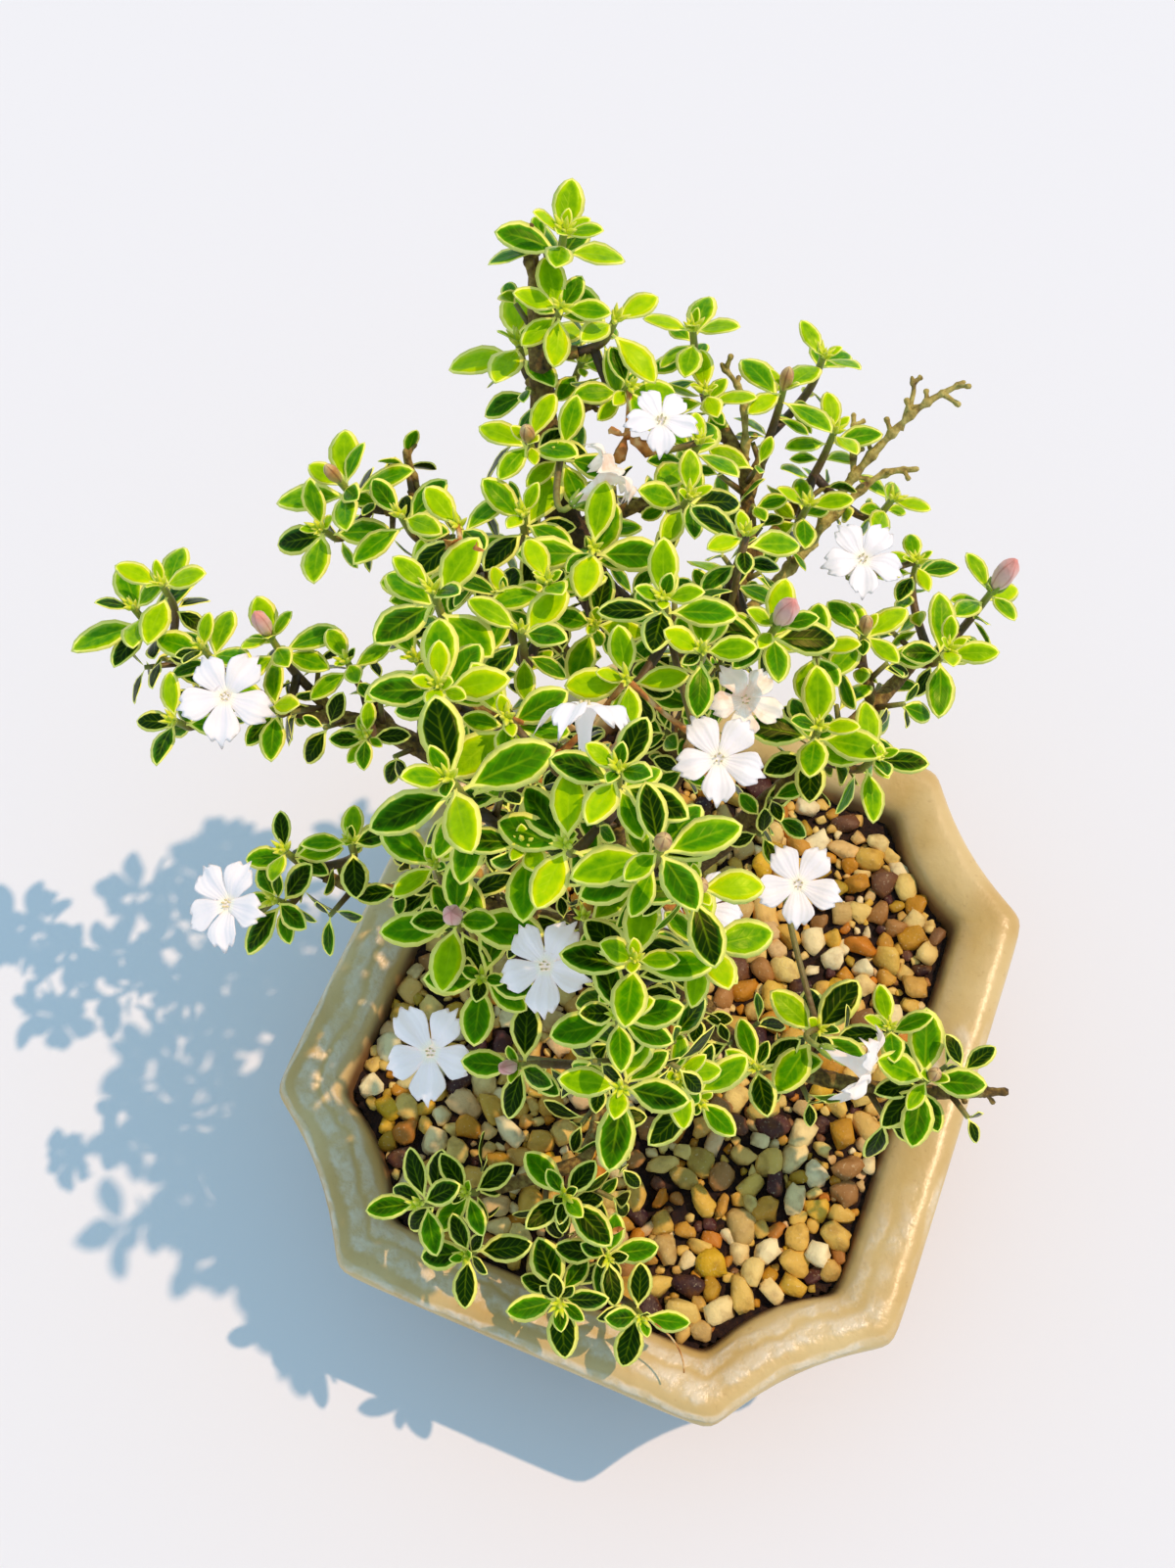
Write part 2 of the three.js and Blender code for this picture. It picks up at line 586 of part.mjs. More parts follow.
// The corners of a blade: elliptic, folded a little along its rib and arched. At each station it has
// a top, a left edge, an underside and a right edge, and both faces share the edges and the tip.
function bladeCorners({ base, along, across, normal, length, width, stations }, margin) {
  const halfWidth = width / 2 + margin;
  const halfRib = leaf.ribThickness / 2 + margin;
  const cornerAt = (u, v, lift) => {
    const arch = 0.1 * u - 0.22 * u * u;
    return base.clone()
      .addScaledVector(along, (length + margin) * u)
      .addScaledVector(across, v)
      .addScaledVector(normal, length * arch + leaf.fold * Math.abs(v) + lift);
  };
  const rings = stations.map(([u, share]) => {
    const half = halfWidth * share;
    return [cornerAt(u, 0, halfRib), cornerAt(u, half, 0), cornerAt(u, 0, -halfRib), cornerAt(u, -half, 0)];
  });
  return { rings, tip: cornerAt(1, 0, 0) };
}

// Appends a blade to a growing mesh, out of four corners that are there already, split alike on both faces
function growBlade(vertices, triangles, root, corners) {
  const indices = corners.rings.map((ring) => ring.map((corner) => vertices.push(corner) - 1));
  const tip = vertices.push(corners.tip) - 1;
  root.forEach((from, index) => {
    const next = (index + 1) % 4;
    triangles.push([from, indices[0][index], root[next]], [root[next], indices[0][index], indices[0][next]]);
  });
  for (let station = 0; station + 1 < indices.length; station += 1) {
    const [top, left, under, right] = indices[station];
    const [farTop, farLeft, farUnder, farRight] = indices[station + 1];
    triangles.push([top, farTop, left], [left, farTop, farLeft]);
    triangles.push([left, farLeft, farUnder], [left, farUnder, under]);
    triangles.push([under, farUnder, right], [right, farUnder, farRight]);
    triangles.push([right, farRight, farTop], [right, farTop, top]);
  }
  const [top, left, under, right] = indices[indices.length - 1];
  triangles.push([top, tip, left], [left, tip, under], [under, tip, right], [right, tip, top]);
}

// A blade by itself, grown by a margin, to try a pose with
function trialBlade(pose, margin) {
  const corners = bladeCorners(pose, margin);
  const half = stem.radius * 0.7;
  const rootAt = (side, lift) => pose.base.clone().addScaledVector(pose.along, half)
    .addScaledVector(pose.across, side * half).addScaledVector(pose.normal, lift * half);
  const vertices = [rootAt(-1, 1), rootAt(1, 1), rootAt(1, -1), rootAt(-1, -1)];
  const triangles = [[0, 1, 2], [0, 2, 3]];
  growBlade(vertices, triangles, [0, 1, 2, 3], corners);
  return solidOf(meshOf(vertices, triangles));
}

const broadStations = [[0.32, 0.9], [0.7, 0.88]];
const slimStations = [[0.5, 1]];

// How a blade may be bent to clear its neighbours: degrees lifted, degrees swung, and its length
const bends = [
  [0, 0, 1], [9, 0, 1], [-9, 0, 1], [0, 13, 1], [0, -13, 1], [18, 0, 1], [-16, 0, 1], [12, 20, 0.94],
  [12, -20, 0.94], [27, 0, 0.94], [-24, 0, 0.9], [0, 28, 0.9], [0, -28, 0.9], [24, 26, 0.86], [24, -26, 0.86],
  [0, 0, 0.72], [-18, 24, 0.78], [-18, -24, 0.78], [34, 14, 0.78], [34, -14, 0.78],
];

const pairLengths = [1, 0.88, 0.6];
const pairLeans = [80, 64, 38];
const pairDrop = 1.7;

// The leaves of a rosette, each as a list of its possible poses
function rosetteLeaves(rosette) {
  const { heart, axis, longest, pairs, turn, seed } = rosette;
  const random = makeRandom(seed);
  const [reference, beside] = rosetteFrame(axis);
  const leaves = [];
  for (let pair = 0; pair < pairs; pair += 1) {
    for (const half of [0, 180]) {
      const size = longest * pairLengths[pair] * (0.9 + 0.2 * random());
      const swing = turn + 90 * pair + half + 20 * (random() - 0.5);
      const lean = pairLeans[pair] + 16 * (random() - 0.5);
      const roll = 24 * (random() - 0.5);
      const base = heart.clone().addScaledVector(axis, -pairDrop * (pairs - pair - 0.5));
      const face = (pair + half / 90) % 4;
      const poses = bends.map(([lift, turnBy, scale]) => {
        const around = radians(swing + turnBy);
        const tilt = radians(lean - lift);
        const outward = reference.clone().multiplyScalar(Math.cos(around))
          .addScaledVector(beside, Math.sin(around));
        const along = outward.clone().multiplyScalar(Math.sin(tilt)).addScaledVector(axis, Math.cos(tilt));
        const normal = outward.clone().multiplyScalar(-Math.cos(tilt)).addScaledVector(axis, Math.sin(tilt));
        const across = normal.clone().cross(along);
        const rolled = normal.clone().multiplyScalar(Math.cos(radians(roll)))
          .addScaledVector(across, Math.sin(radians(roll)));
        return {
          base,
          along,
          normal: rolled,
          across: rolled.clone().cross(along),
          length: size * scale,
          width: size * scale * leaf.widthRatio,
          stations: size > leaf.fullForm ? broadStations : slimStations,
        };
      });
      leaves.push({ pair, face, poses });
    }
  }
  return leaves;
}

// The way a rosette faces: partly along its shoot, mostly up to the light, and a little to the front
function rosetteAxis(heart, root) {
  const away = heart.clone().sub(root).normalize();
  return away.multiplyScalar(0.4).addScaledVector(up, 0.7).addScaledVector(front, 0.25).normalize();
}

// A bowed stem from start up to the collar that carries a rosette's pairs of leaves
function stemTo(rosette, start, from, stiffness, shares) {
  const { heart, axis, pairs } = rosette;
  const lowest = heart.clone().addScaledVector(axis, -pairDrop * pairs);
  const span = lowest.distanceTo(start);
  return { rosette, curve: bow(start, lowest, axis, stiffness), from: from(span), span, shares };
}

const woodShare = (span) => Math.min(Math.max(1 - stem.greenLength / span, 0.35), 0.72);

function rosetteOf([x, y, z, longest, pairs, turn], root, seed) {
  const heart = new THREE.Vector3(x, y, z);
  return { heart, axis: rosetteAxis(heart, root), longest, pairs, turn, seed };
}

// Small moves of a heart or a throat that let its stem pass the wood and the other stems
const nudges = [
  [0, 0, 0], [0, 0, 1.5], [1.5, 0, 1], [-1.5, 0, 1], [0, 1.5, 1], [0, -1.5, 1], [0, 0, 3], [3, 0, 2],
  [-3, 0, 2], [0, 3, 2], [0, -3, 2], [2, 2, 4], [-2, 2, 4], [2, -2, 4], [-2, -2, 4], [4, 0, -2],
  [-4, 0, -2], [0, 4, -2],
  [0, -4, -2], [5, 0, 4], [-5, 0, 4], [0, 5, 4], [0, -5, 4], [0, 0, 6],
];
const stemMargin = 0.6 * gap;
const nudged = ([x, y, z, ...rest], [dx, dy, dz]) => [x + dx, y + dy, z + dz, ...rest];

// The first small move of a heart that gives its stem room, and the stem laid out with it
function stemWithRoom(name, heart, root, seed, layOut, hasRoom) {
  let line;
  nudges.find((nudge) => {
    line = layOut(rosetteOf(nudged(heart, nudge), root, seed));
    return isClear(makeRosette(line, [], stemMargin), name) && hasRoom(line);
  });
  place(name, makeRosette(line, []), `${name} ${seed}`, true);
  return line;
}

// Lays out a shoot in the room that is left: its woody twig, its green stem, its side stems and its rosettes
function layOutShoot(name, shoot, number) {
  const root = limbCurves[shoot.on](shoot.along);
  const [mainHeart, ...sideHearts] = shoot.hearts;
  const seed = 100 * number;
  const greenFrom = (span) => woodShare(span) + gap / span;
  const main = stemWithRoom(name, mainHeart, root, seed,
    (rosette) => stemTo(rosette, root, greenFrom, 0.45, [0.5, 0]),
    (line) => isClear(twigSolid(line), 'trunk'));
  place('trunk', twigSolid(main));
  addPiece('trunk', twigSolid(main), 'wood');
  const fork = main.curve(main.from + (1 - main.from) * 0.4);
  const sides = sideHearts.map((heart, index) => stemWithRoom(name, heart, root, seed + index + 1,
    (rosette) => stemTo(rosette, fork, () => 0, 0.4, [0.45, 0]),
    () => true));
  return { name, stems: [main, ...sides], fork };
}

const twigSolid = ({ curve, span }) => (
  solidOf(taperedStem(curve, evenStops(0, woodShare(span), 2), stem.radius + 0.35, stem.radius + 0.1, 3)));

// The two vectors across a rosette's axis from which the turn of its leaves is counted
function rosetteFrame(axis) {
  const reference = new THREE.Vector3(1, 0, 0).addScaledVector(axis, -axis.x).normalize();
  return [reference, axis.clone().cross(reference)];
}

// One rosette on its stem, as one closed mesh: a square stem with a ring at each level,
// where a leaf that stands grows out of the stem's face and an empty face stays closed.
function makeRosette({ rosette, curve, from, shares }, standing, margin = 0) {
  const { heart, axis, pairs, turn } = rosette;
  const [reference, beside] = rosetteFrame(axis);
  const normal = reference.multiplyScalar(Math.cos(radians(turn - 45)))
    .addScaledVector(beside, Math.sin(radians(turn - 45)));
  const levels = Array.from({ length: pairs + 1 }, (_, level) => (
    { centre: heart.clone().addScaledVector(axis, -pairDrop * level), tangent: axis }));
  const lower = shares.map((share) => {
    const along = from + (1 - from) * share;
    return { centre: curve(along), tangent: curve(along + 1e-3).sub(curve(along - 1e-3)).normalize() };
  });
  const places = [...levels, ...lower];
  const rings = places.map(({ centre, tangent }, index) => {
    normal.addScaledVector(tangent, -normal.dot(tangent)).normalize();
    const side = tangent.clone().cross(normal);
    const share = index / (places.length - 1);
    const radius = stem.tipRadius + (stem.radius - stem.tipRadius) * share + margin;
    return [[1, 0], [0, 1], [-1, 0], [0, -1]].map(([cos, sin]) => (
      centre.clone().addScaledVector(normal, radius * cos).addScaledVector(side, radius * sin)));
  }).reverse();
  const vertices = rings.flat();
  const triangles = [[0, 2, 1], [0, 3, 2]];
  const top = vertices.length - 4;
  triangles.push([top, top + 1, top + 2], [top, top + 2, top + 3]);
  for (let ring = 0; ring + 1 < rings.length; ring += 1) {
    for (let face = 0; face < 4; face += 1) {
      const [a, b] = [4 * ring + face, 4 * ring + ((face + 1) % 4)];
      const grown = standing.find((leafOn) => leafOn.face === face && leafOn.pair === ring - lower.length);
      if (grown) {
        growBlade(vertices, triangles, [a + 4, b + 4, b, a], bladeCorners(grown.pose, 0));
      } else {
        triangles.push([a, b, b + 4], [a, b + 4, a + 4]);
      }
    }
  }
  return solidOf(meshOf(vertices, triangles));
}

// ---- flowers and buds ----

function frameAlong(axis) {
  const side = new THREE.Vector3(0.3, 1, 0.1);
  side.addScaledVector(axis, -side.dot(axis)).normalize();
  return [side, axis.clone().cross(side)];
}

// A flower as one closed mesh: a slender tube of five faces, with a petal out of each face at the throat.
// A petal has three teeth at its tip and is a thin star-shaped plate round a raised middle.
function makeBloom({ throat, facing, breadth }) {
  const axis = point(facing).normalize();
  const centre = point(throat);
  const [side, beside] = frameAlong(axis);
  const base = centre.clone().addScaledVector(axis, -corolla.tube);
  const count = corolla.petals;
  const outward = (turn) => {
    const angle = (2 * Math.PI * turn) / count;
    return side.clone().multiplyScalar(Math.cos(angle)).addScaledVector(beside, Math.sin(angle));
  };
  const profile = [[0, 0.7 * corolla.tubeRadius], [0.6, corolla.tubeRadius],
    [0.88, corolla.throatRadius], [1, corolla.throatRadius]];
  const vertices = profile.flatMap(([share, radius]) => Array.from({ length: count }, (_, corner) => (
    base.clone().addScaledVector(axis, corolla.tube * share)
      .addScaledVector(outward(corner - 0.5), radius))));
  const throatRing = count * (profile.length - 1);
  const triangles = [];
  for (let corner = 1; corner + 1 < count; corner += 1) {
    triangles.push([0, corner + 1, corner], [throatRing, throatRing + corner, throatRing + corner + 1]);
  }
  for (let ring = 0; ring < throatRing; ring += count) {
    for (let face = 0; face < count; face += 1) {
      const [a, b] = [ring + face, ring + ((face + 1) % count)];
      if (ring + count < throatRing) {
        triangles.push([a, b, b + count], [a, b + count, a + count]);
      } else {
        const petal = { centre, axis, out: outward(face), length: breadth / 2 };
        growPetal(vertices, triangles, [a + count, b + count, b, a], petal);
      }
    }
  }
  return { base, axis, solid: solidOf(meshOf(vertices, triangles)) };
}

// A petal's edge from one root corner to the other, in shares of its length: out from the throat, and across
const petalEdge = [
  [0.58, 0.34], [0.92, 0.26], [0.88, 0.1], [1, 0], [0.88, -0.1], [0.92, -0.26], [0.58, -0.34],
];

function growPetal(vertices, triangles, root, { centre, axis, out, length }) {
  const across = axis.clone().cross(out);
  const cornerAt = ([u, v], lift) => vertices.push(centre.clone()
    .addScaledVector(out, length * u)
    .addScaledVector(across, length * v)
    .addScaledVector(axis, length * (0.16 * Math.sin(2.6 * u) - 0.08) + 0.4 * Math.abs(v) + lift)) - 1;
  const half = corolla.petalThickness / 2;
  const over = cornerAt([0.5, 0], half);
  const under = cornerAt([0.5, 0], -half);
  const edge = petalEdge.map((place) => cornerAt(place, 0));
  const [topRight, topLeft, lowLeft, lowRight] = root;
  const rim = [topLeft, ...edge, topRight];
  for (let index = 0; index + 1 < rim.length; index += 1) {
    triangles.push([over, rim[index + 1], rim[index]]);
  }
  triangles.push([over, topLeft, topRight]);
  const lowRim = [lowLeft, ...edge, lowRight];
  for (let index = 0; index + 1 < lowRim.length; index += 1) {
    triangles.push([under, lowRim[index], lowRim[index + 1]]);
  }
  triangles.push([under, lowRight, lowLeft]);
  triangles.push([topLeft, edge[0], lowLeft], [topRight, lowRight, edge[edge.length - 1]]);
}

function makeBud(base, axis, length, sides, girth = 1) {
  const [side, beside] = frameAlong(axis);
  const profile = [[0, 0.1], [0.28, 0.25], [0.62, 0.3], [0.86, 0.2], [1, 0.05]];
  const rings = profile.map(([share, radius]) => Array.from({ length: sides }, (_, corner) => {
    const angle = (2 * Math.PI * corner) / sides;
    return base.clone().addScaledVector(axis, length * share)
      .addScaledVector(side, length * girth * radius * Math.cos(angle))
      .addScaledVector(beside, length * girth * radius * Math.sin(angle));
  }));
  return solidOf(loft(rings));
}

// ---- growing it all ----

const pieces = new Map();

function addPiece(name, solid, material) {
  if (!pieces.has(name)) pieces.set(name, { solids: [], material });
  pieces.get(name).solids.push(solid);
}

function makeVessel() {
  const vessel = { pot: makePot(), soil: makeSoil(), gravel: makeGravel() };
  for (const [name, solid] of Object.entries(vessel)) {
    addPiece(name, solid, name);
    place(name, solid);
  }
  addPiece('drain_screen_front', makeScreen(-1), 'screen');
  addPiece('drain_screen_back', makeScreen(1), 'screen');
}

// The trunk's foot: a root down in the soil, and a flare that rests over the gravel's opening
function makeFoot() {
  const flareBottom = soil.top + 0.5;
  const profile = [[trunkFoot.rootBottom, trunkFoot.rootRadius], [soil.top - 0.1, trunkFoot.radius],
    [flareBottom, trunkFoot.flare - 0.4], [gravel.top, trunkFoot.flare],
    [gravel.top + 8, trunkFoot.radius - 0.2]];
  const sides = 8;
  const rings = profile.map(([height, radius]) => Array.from({ length: sides }, (_, corner) => {
    const angle = (2 * Math.PI * corner) / sides;
    const lean = Math.max(height - flareBottom, 0) * trunkFoot.lean;
    return new THREE.Vector3(trunkFoot.x - lean + radius * Math.cos(angle),
      trunkFoot.y + lean + radius * Math.sin(angle), height);
  }));
  return solidOf(loft(rings));
}

function growWood() {
  const wood = [makeFoot()];
  for (const [name, { radius, sides = 4, steps = 4 }] of Object.entries(limbs)) {
    wood.push(solidOf(taperedStem(limbCurves[name], evenStops(0, 1, steps), radius[0], radius[1], sides)));
  }
  for (const { route, radius } of snags) {
    const stops = evenStops(0, 1, route.length - 1);
    wood.push(solidOf(taperedStem(smoothRoute(route), stops, radius[0], radius[1], 3)));
  }
  for (const solid of wood) {
    addPiece('trunk', solid, 'wood');
    place('trunk', solid);
  }
}

// A flower's stalk starts at the shoot's fork or at a heart that has no bud: the nearest that is clear
function stalkFor(layout, base, axis) {
  const end = base.clone().addScaledVector(axis, -gap);
  const budded = Object.values(pinkBuds).filter((bud) => bud.on === layout.name).map((bud) => bud.heart);
  const free = layout.stems.filter((_, index) => !budded.includes(index));
  const starts = [layout.fork, ...free.map(({ rosette }) => rosette.heart)];
  starts.sort((a, b) => a.distanceTo(end) - b.distanceTo(end));
  const stalks = starts.map((start) => (
    solidOf(taperedStem(bow(start, end, axis, 0.4), [0, 0.5, 1], stem.tipRadius, stem.tipRadius * 0.8, 3))));
  return stalks.find((candidate) => isClear(candidate, layout.name)) ?? stalks[0];
}

function growFlowers(layouts) {
  for (const [name, bloom] of Object.entries(blooms)) {
    const layout = layouts.find((candidate) => candidate.name === bloom.on);
    const { base, axis, solid } = makeBloom(bloom);
    const stalk = stalkFor(layout, base, axis);
    addPiece(layout.name, stalk, 'leaf');
    place(layout.name, stalk, layout.name, true);
    addPiece(name, solid, 'petal');
    place(name, solid);
  }
}

function growBuds(layouts) {
  for (const [name, { on, heart, length }] of Object.entries(pinkBuds)) {
    const { rosette } = layouts.find((candidate) => candidate.name === on).stems[heart];
    const base = rosette.heart.clone().addScaledVector(rosette.axis, gap);
    const solid = makeBud(base, rosette.axis, length, pinkBudSides);
    addPiece(name, solid, 'bud');
    place(name, solid);
  }
  for (const [name, hearts] of Object.entries(tanBuds)) {
    const layout = layouts.find((candidate) => candidate.name === name);
    for (const index of hearts) {
      const { heart, axis } = layout.stems[index].rosette;
      const base = heart.clone().addScaledVector(axis, -tanBud.sink);
      const solid = makeBud(base, axis, tanBud.length, tanBud.sides, tanBud.girth);
      addPiece(name, solid, 'leaf');
      place(name, solid);
    }
  }
}

const blade = { clearance: 0.8 * gap, clearanceOnOwnShoot: 0.15 * gap };

// Whether a blade in this pose clears all that stands, apart from its own rosette's stem
function bladeFits(pose, name, group) {
  const wide = trialBlade(pose, blade.clearance);
  const close = trialBlade(pose, blade.clearanceOnOwnShoot);
  const box = boxOf(wide);
  return placed.every((other) => {
    if (!other.box.intersectsBox(box)) return true;
    if (other.group === group && other.stem) return true;
    return other.solid.intersect(other.owner === name ? close : wide).getMesh().triVerts.length === 0;
  });
}

// Leaves, the highest rosettes first: each takes the first pose that clears what stands already
function growLeaves(layouts) {
  const lines = layouts.flatMap((layout) => layout.stems.map((line) => ({ ...line, name: layout.name })));
  lines.sort((a, b) => b.rosette.heart.z - a.rosette.heart.z);
  for (const line of lines) {
    const { name, rosette } = line;
    const group = `${name} ${rosette.seed}`;
    const standing = [];
    for (const { pair, face, poses } of rosetteLeaves(rosette)) {
      const pose = poses.find((candidate) => bladeFits(candidate, name, group));
      if (pose) {
        standing.push({ pair, face, pose });
        place(name, trialBlade(pose, 0), group);
      }
    }
    addPiece(name, makeRosette(line, standing), 'leaf');
  }
}

// Stems, flowers and buds come before the leaves, which bend round them
makeVessel();
growWood();
const shootLayouts = Object.entries(shoots)
  .map(([name, shoot], index) => layOutShoot(name, shoot, index + 1));
growFlowers(shootLayouts);
growBuds(shootLayouts);
growLeaves(shootLayouts);

const serissa = new THREE.Group();
for (const [name, { solids, material }] of pieces) {
  const mesh = new THREE.Mesh(geometryOf(joined(solids)), new THREE.MeshStandardMaterial(paint[material]));
  mesh.name = name;
  serissa.add(mesh);
}
const whole = new THREE.Box3().setFromObject(serissa);
const middle = whole.getCenter(new THREE.Vector3());
serissa.position.set(-middle.x, -middle.y, -whole.min.z);

export default serissa;
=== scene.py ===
# A serissa bonsai, variegated and in flower, in its glazed pot.
# Places are in millimetres from the middle of the pot, +Z up. A piece is brought to metres once it is made.
import math
import random
from itertools import product

import bmesh
import bpy
from mathutils import Matrix, Vector, noise
from mathutils.kdtree import KDTree


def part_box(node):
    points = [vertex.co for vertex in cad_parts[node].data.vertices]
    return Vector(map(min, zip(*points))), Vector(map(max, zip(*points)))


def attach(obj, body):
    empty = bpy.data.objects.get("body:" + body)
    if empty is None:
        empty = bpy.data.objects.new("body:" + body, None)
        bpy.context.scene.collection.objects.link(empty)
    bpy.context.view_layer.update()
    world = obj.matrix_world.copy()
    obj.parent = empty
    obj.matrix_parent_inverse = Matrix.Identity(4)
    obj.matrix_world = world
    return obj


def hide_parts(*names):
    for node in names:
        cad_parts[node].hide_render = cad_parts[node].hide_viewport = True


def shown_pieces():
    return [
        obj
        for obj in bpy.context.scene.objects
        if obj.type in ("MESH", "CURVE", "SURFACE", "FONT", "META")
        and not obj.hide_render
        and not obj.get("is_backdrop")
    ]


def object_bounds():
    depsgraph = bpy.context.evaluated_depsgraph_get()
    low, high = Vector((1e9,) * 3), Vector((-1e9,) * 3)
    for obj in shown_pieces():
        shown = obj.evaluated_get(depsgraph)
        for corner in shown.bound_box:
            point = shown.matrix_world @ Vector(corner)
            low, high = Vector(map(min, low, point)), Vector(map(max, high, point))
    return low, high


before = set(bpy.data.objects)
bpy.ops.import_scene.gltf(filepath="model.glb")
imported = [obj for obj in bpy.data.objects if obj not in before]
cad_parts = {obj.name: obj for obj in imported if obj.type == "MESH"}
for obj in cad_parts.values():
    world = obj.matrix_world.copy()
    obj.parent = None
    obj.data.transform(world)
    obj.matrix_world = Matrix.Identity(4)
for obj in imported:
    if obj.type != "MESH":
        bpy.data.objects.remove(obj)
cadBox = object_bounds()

mm = 0.001
potLow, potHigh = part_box("pot")
potMiddle = ((potLow.x + potHigh.x) / 2, (potLow.y + potHigh.y) / 2, 0)
potToRow = Matrix.Translation(potMiddle) @ Matrix.Scale(mm, 4)
rowToPot = potToRow.inverted()
up = Vector((0, 0, 1))
front = Vector((0.16, -0.4, 0.9))  # the way that the tree's leaves turn to
corners = ((1, 1), (-1, 1), (-1, -1), (1, -1))
anyTurn = 6.3  # the upper end of a random turn or phase, in radians
tiny = 1e-3


def linear(red, green, blue):
    # a colour given in display values from 0 to 255
    return tuple((value / 255 / 12.92 if value < 11 else ((value / 255 + 0.055) / 1.055) ** 2.4)
                 for value in (red, green, blue))


class Wire:
    # a value in a finish, with which sums can be written
    def __init__(self, finish, socket):
        self.finish = finish
        self.socket = socket

    def maths(self, operation, first, second=0.0):
        return self.finish.node("Math", {"operation": operation}, {0: first, 1: second})

    def __add__(self, other):
        return self.maths("ADD", self, other)

    def __radd__(self, other):
        return self.maths("ADD", other, self)

    def __sub__(self, other):
        return self.maths("SUBTRACT", self, other)

    def __rsub__(self, other):
        return self.maths("SUBTRACT", other, self)

    def __mul__(self, other):
        return self.maths("MULTIPLY", self, other)

    def __rmul__(self, other):
        return self.maths("MULTIPLY", other, self)

    def __abs__(self):
        return self.maths("ABSOLUTE", self)

    def wave(self):
        return self.finish.node("Math", {"operation": "SINE"}, {0: self})


class Finish:
    # a material, whose colours are given in display values
    def __init__(self, name, **constants):
        self.material = bpy.data.materials.new(name)
        self.material.use_nodes = True
        self.tree = self.material.node_tree
        self.tree.nodes.clear()
        self.shader = self.tree.nodes.new("ShaderNodeBsdfPrincipled")
        output = self.tree.nodes.new("ShaderNodeOutputMaterial")
        self.tree.links.new(self.shader.outputs[0], output.inputs[0])
        for socket, value in constants.items():
            self.shader.inputs[socket.replace("_", " ")].default_value = value

    def node(self, kind, settings=None, values=None, output=0):
        made = self.tree.nodes.new("ShaderNode" + kind)
        for key, value in (settings or {}).items():
            if key == "stops":
                ramp = made.color_ramp
                while len(ramp.elements) < len(value):
                    ramp.elements.new(0.5)
                for element, (position, colour) in zip(ramp.elements, value):
                    element.position = position
                    element.color = (*linear(*colour), 1)
            else:
                setattr(made, key, value)
        for key, value in (values or {}).items():
            if isinstance(value, Wire):
                self.tree.links.new(value.socket, made.inputs[key])
            else:
                made.inputs[key].default_value = value
        return Wire(self, made.outputs[output])

    def place(self):
        return self.node("TexCoord", output=3)

    def parts(self, vector):
        split = self.node("SeparateXYZ", values={"Vector": vector}).socket.node
        return [Wire(self, output) for output in split.outputs]

    def attribute(self, name):
        return self.node("Attribute", {"attribute_name": name}, output=2)

    def noise(self, scale, detail=3, vector=None, roughness=0.5):
        values = {"Vector": vector or self.place(), "Scale": scale, "Detail": detail, "Roughness": roughness}
        return self.node("TexNoise", values=values)

    def step(self, value, low, high):
        values = {"Value": value, "From Min": low, "From Max": high}
        return self.node("MapRange", {"interpolation_type": "SMOOTHSTEP"}, values)

    def mix(self, factor, first, second):
        values = {0: factor}
        for key, colour in ((6, first), (7, second)):
            values[key] = colour if isinstance(colour, Wire) else (*linear(*colour), 1)
        return self.node("Mix", {"data_type": "RGBA"}, values, output=2)

    def ramp(self, factor, stops):
        return self.node("ValToRGB", {"stops": stops}, {"Fac": factor})

    def bump(self, height, distance, strength=1.0):
        values = {"Height": height, "Distance": distance, "Strength": strength}
        return self.node("Bump", values=values)

    def feed(self, **wires):
        for socket, wire in wires.items():
            self.tree.links.new(wire.socket, self.shader.inputs[socket.replace("_", " ")])
        return self.material


leafLook = {
    "margin": (255, 250, 132), "rim": (226, 240, 2), "young": (218, 228, 0), "bright": (166, 206, 0),
    "middle": (72, 142, 0), "dark": (6, 40, 0), "rib": (172, 208, 20),
    "marginWidth": 0.24, "marginWander": 0.14, "cream": 0.75, "haloWidth": 0.07, "halo": 0.42, "glow": 0.13,
    "shade": 0.28, "mottle": 0.4, "veins": 44, "veinSlant": 15, "ribWidth": 0.1,
}


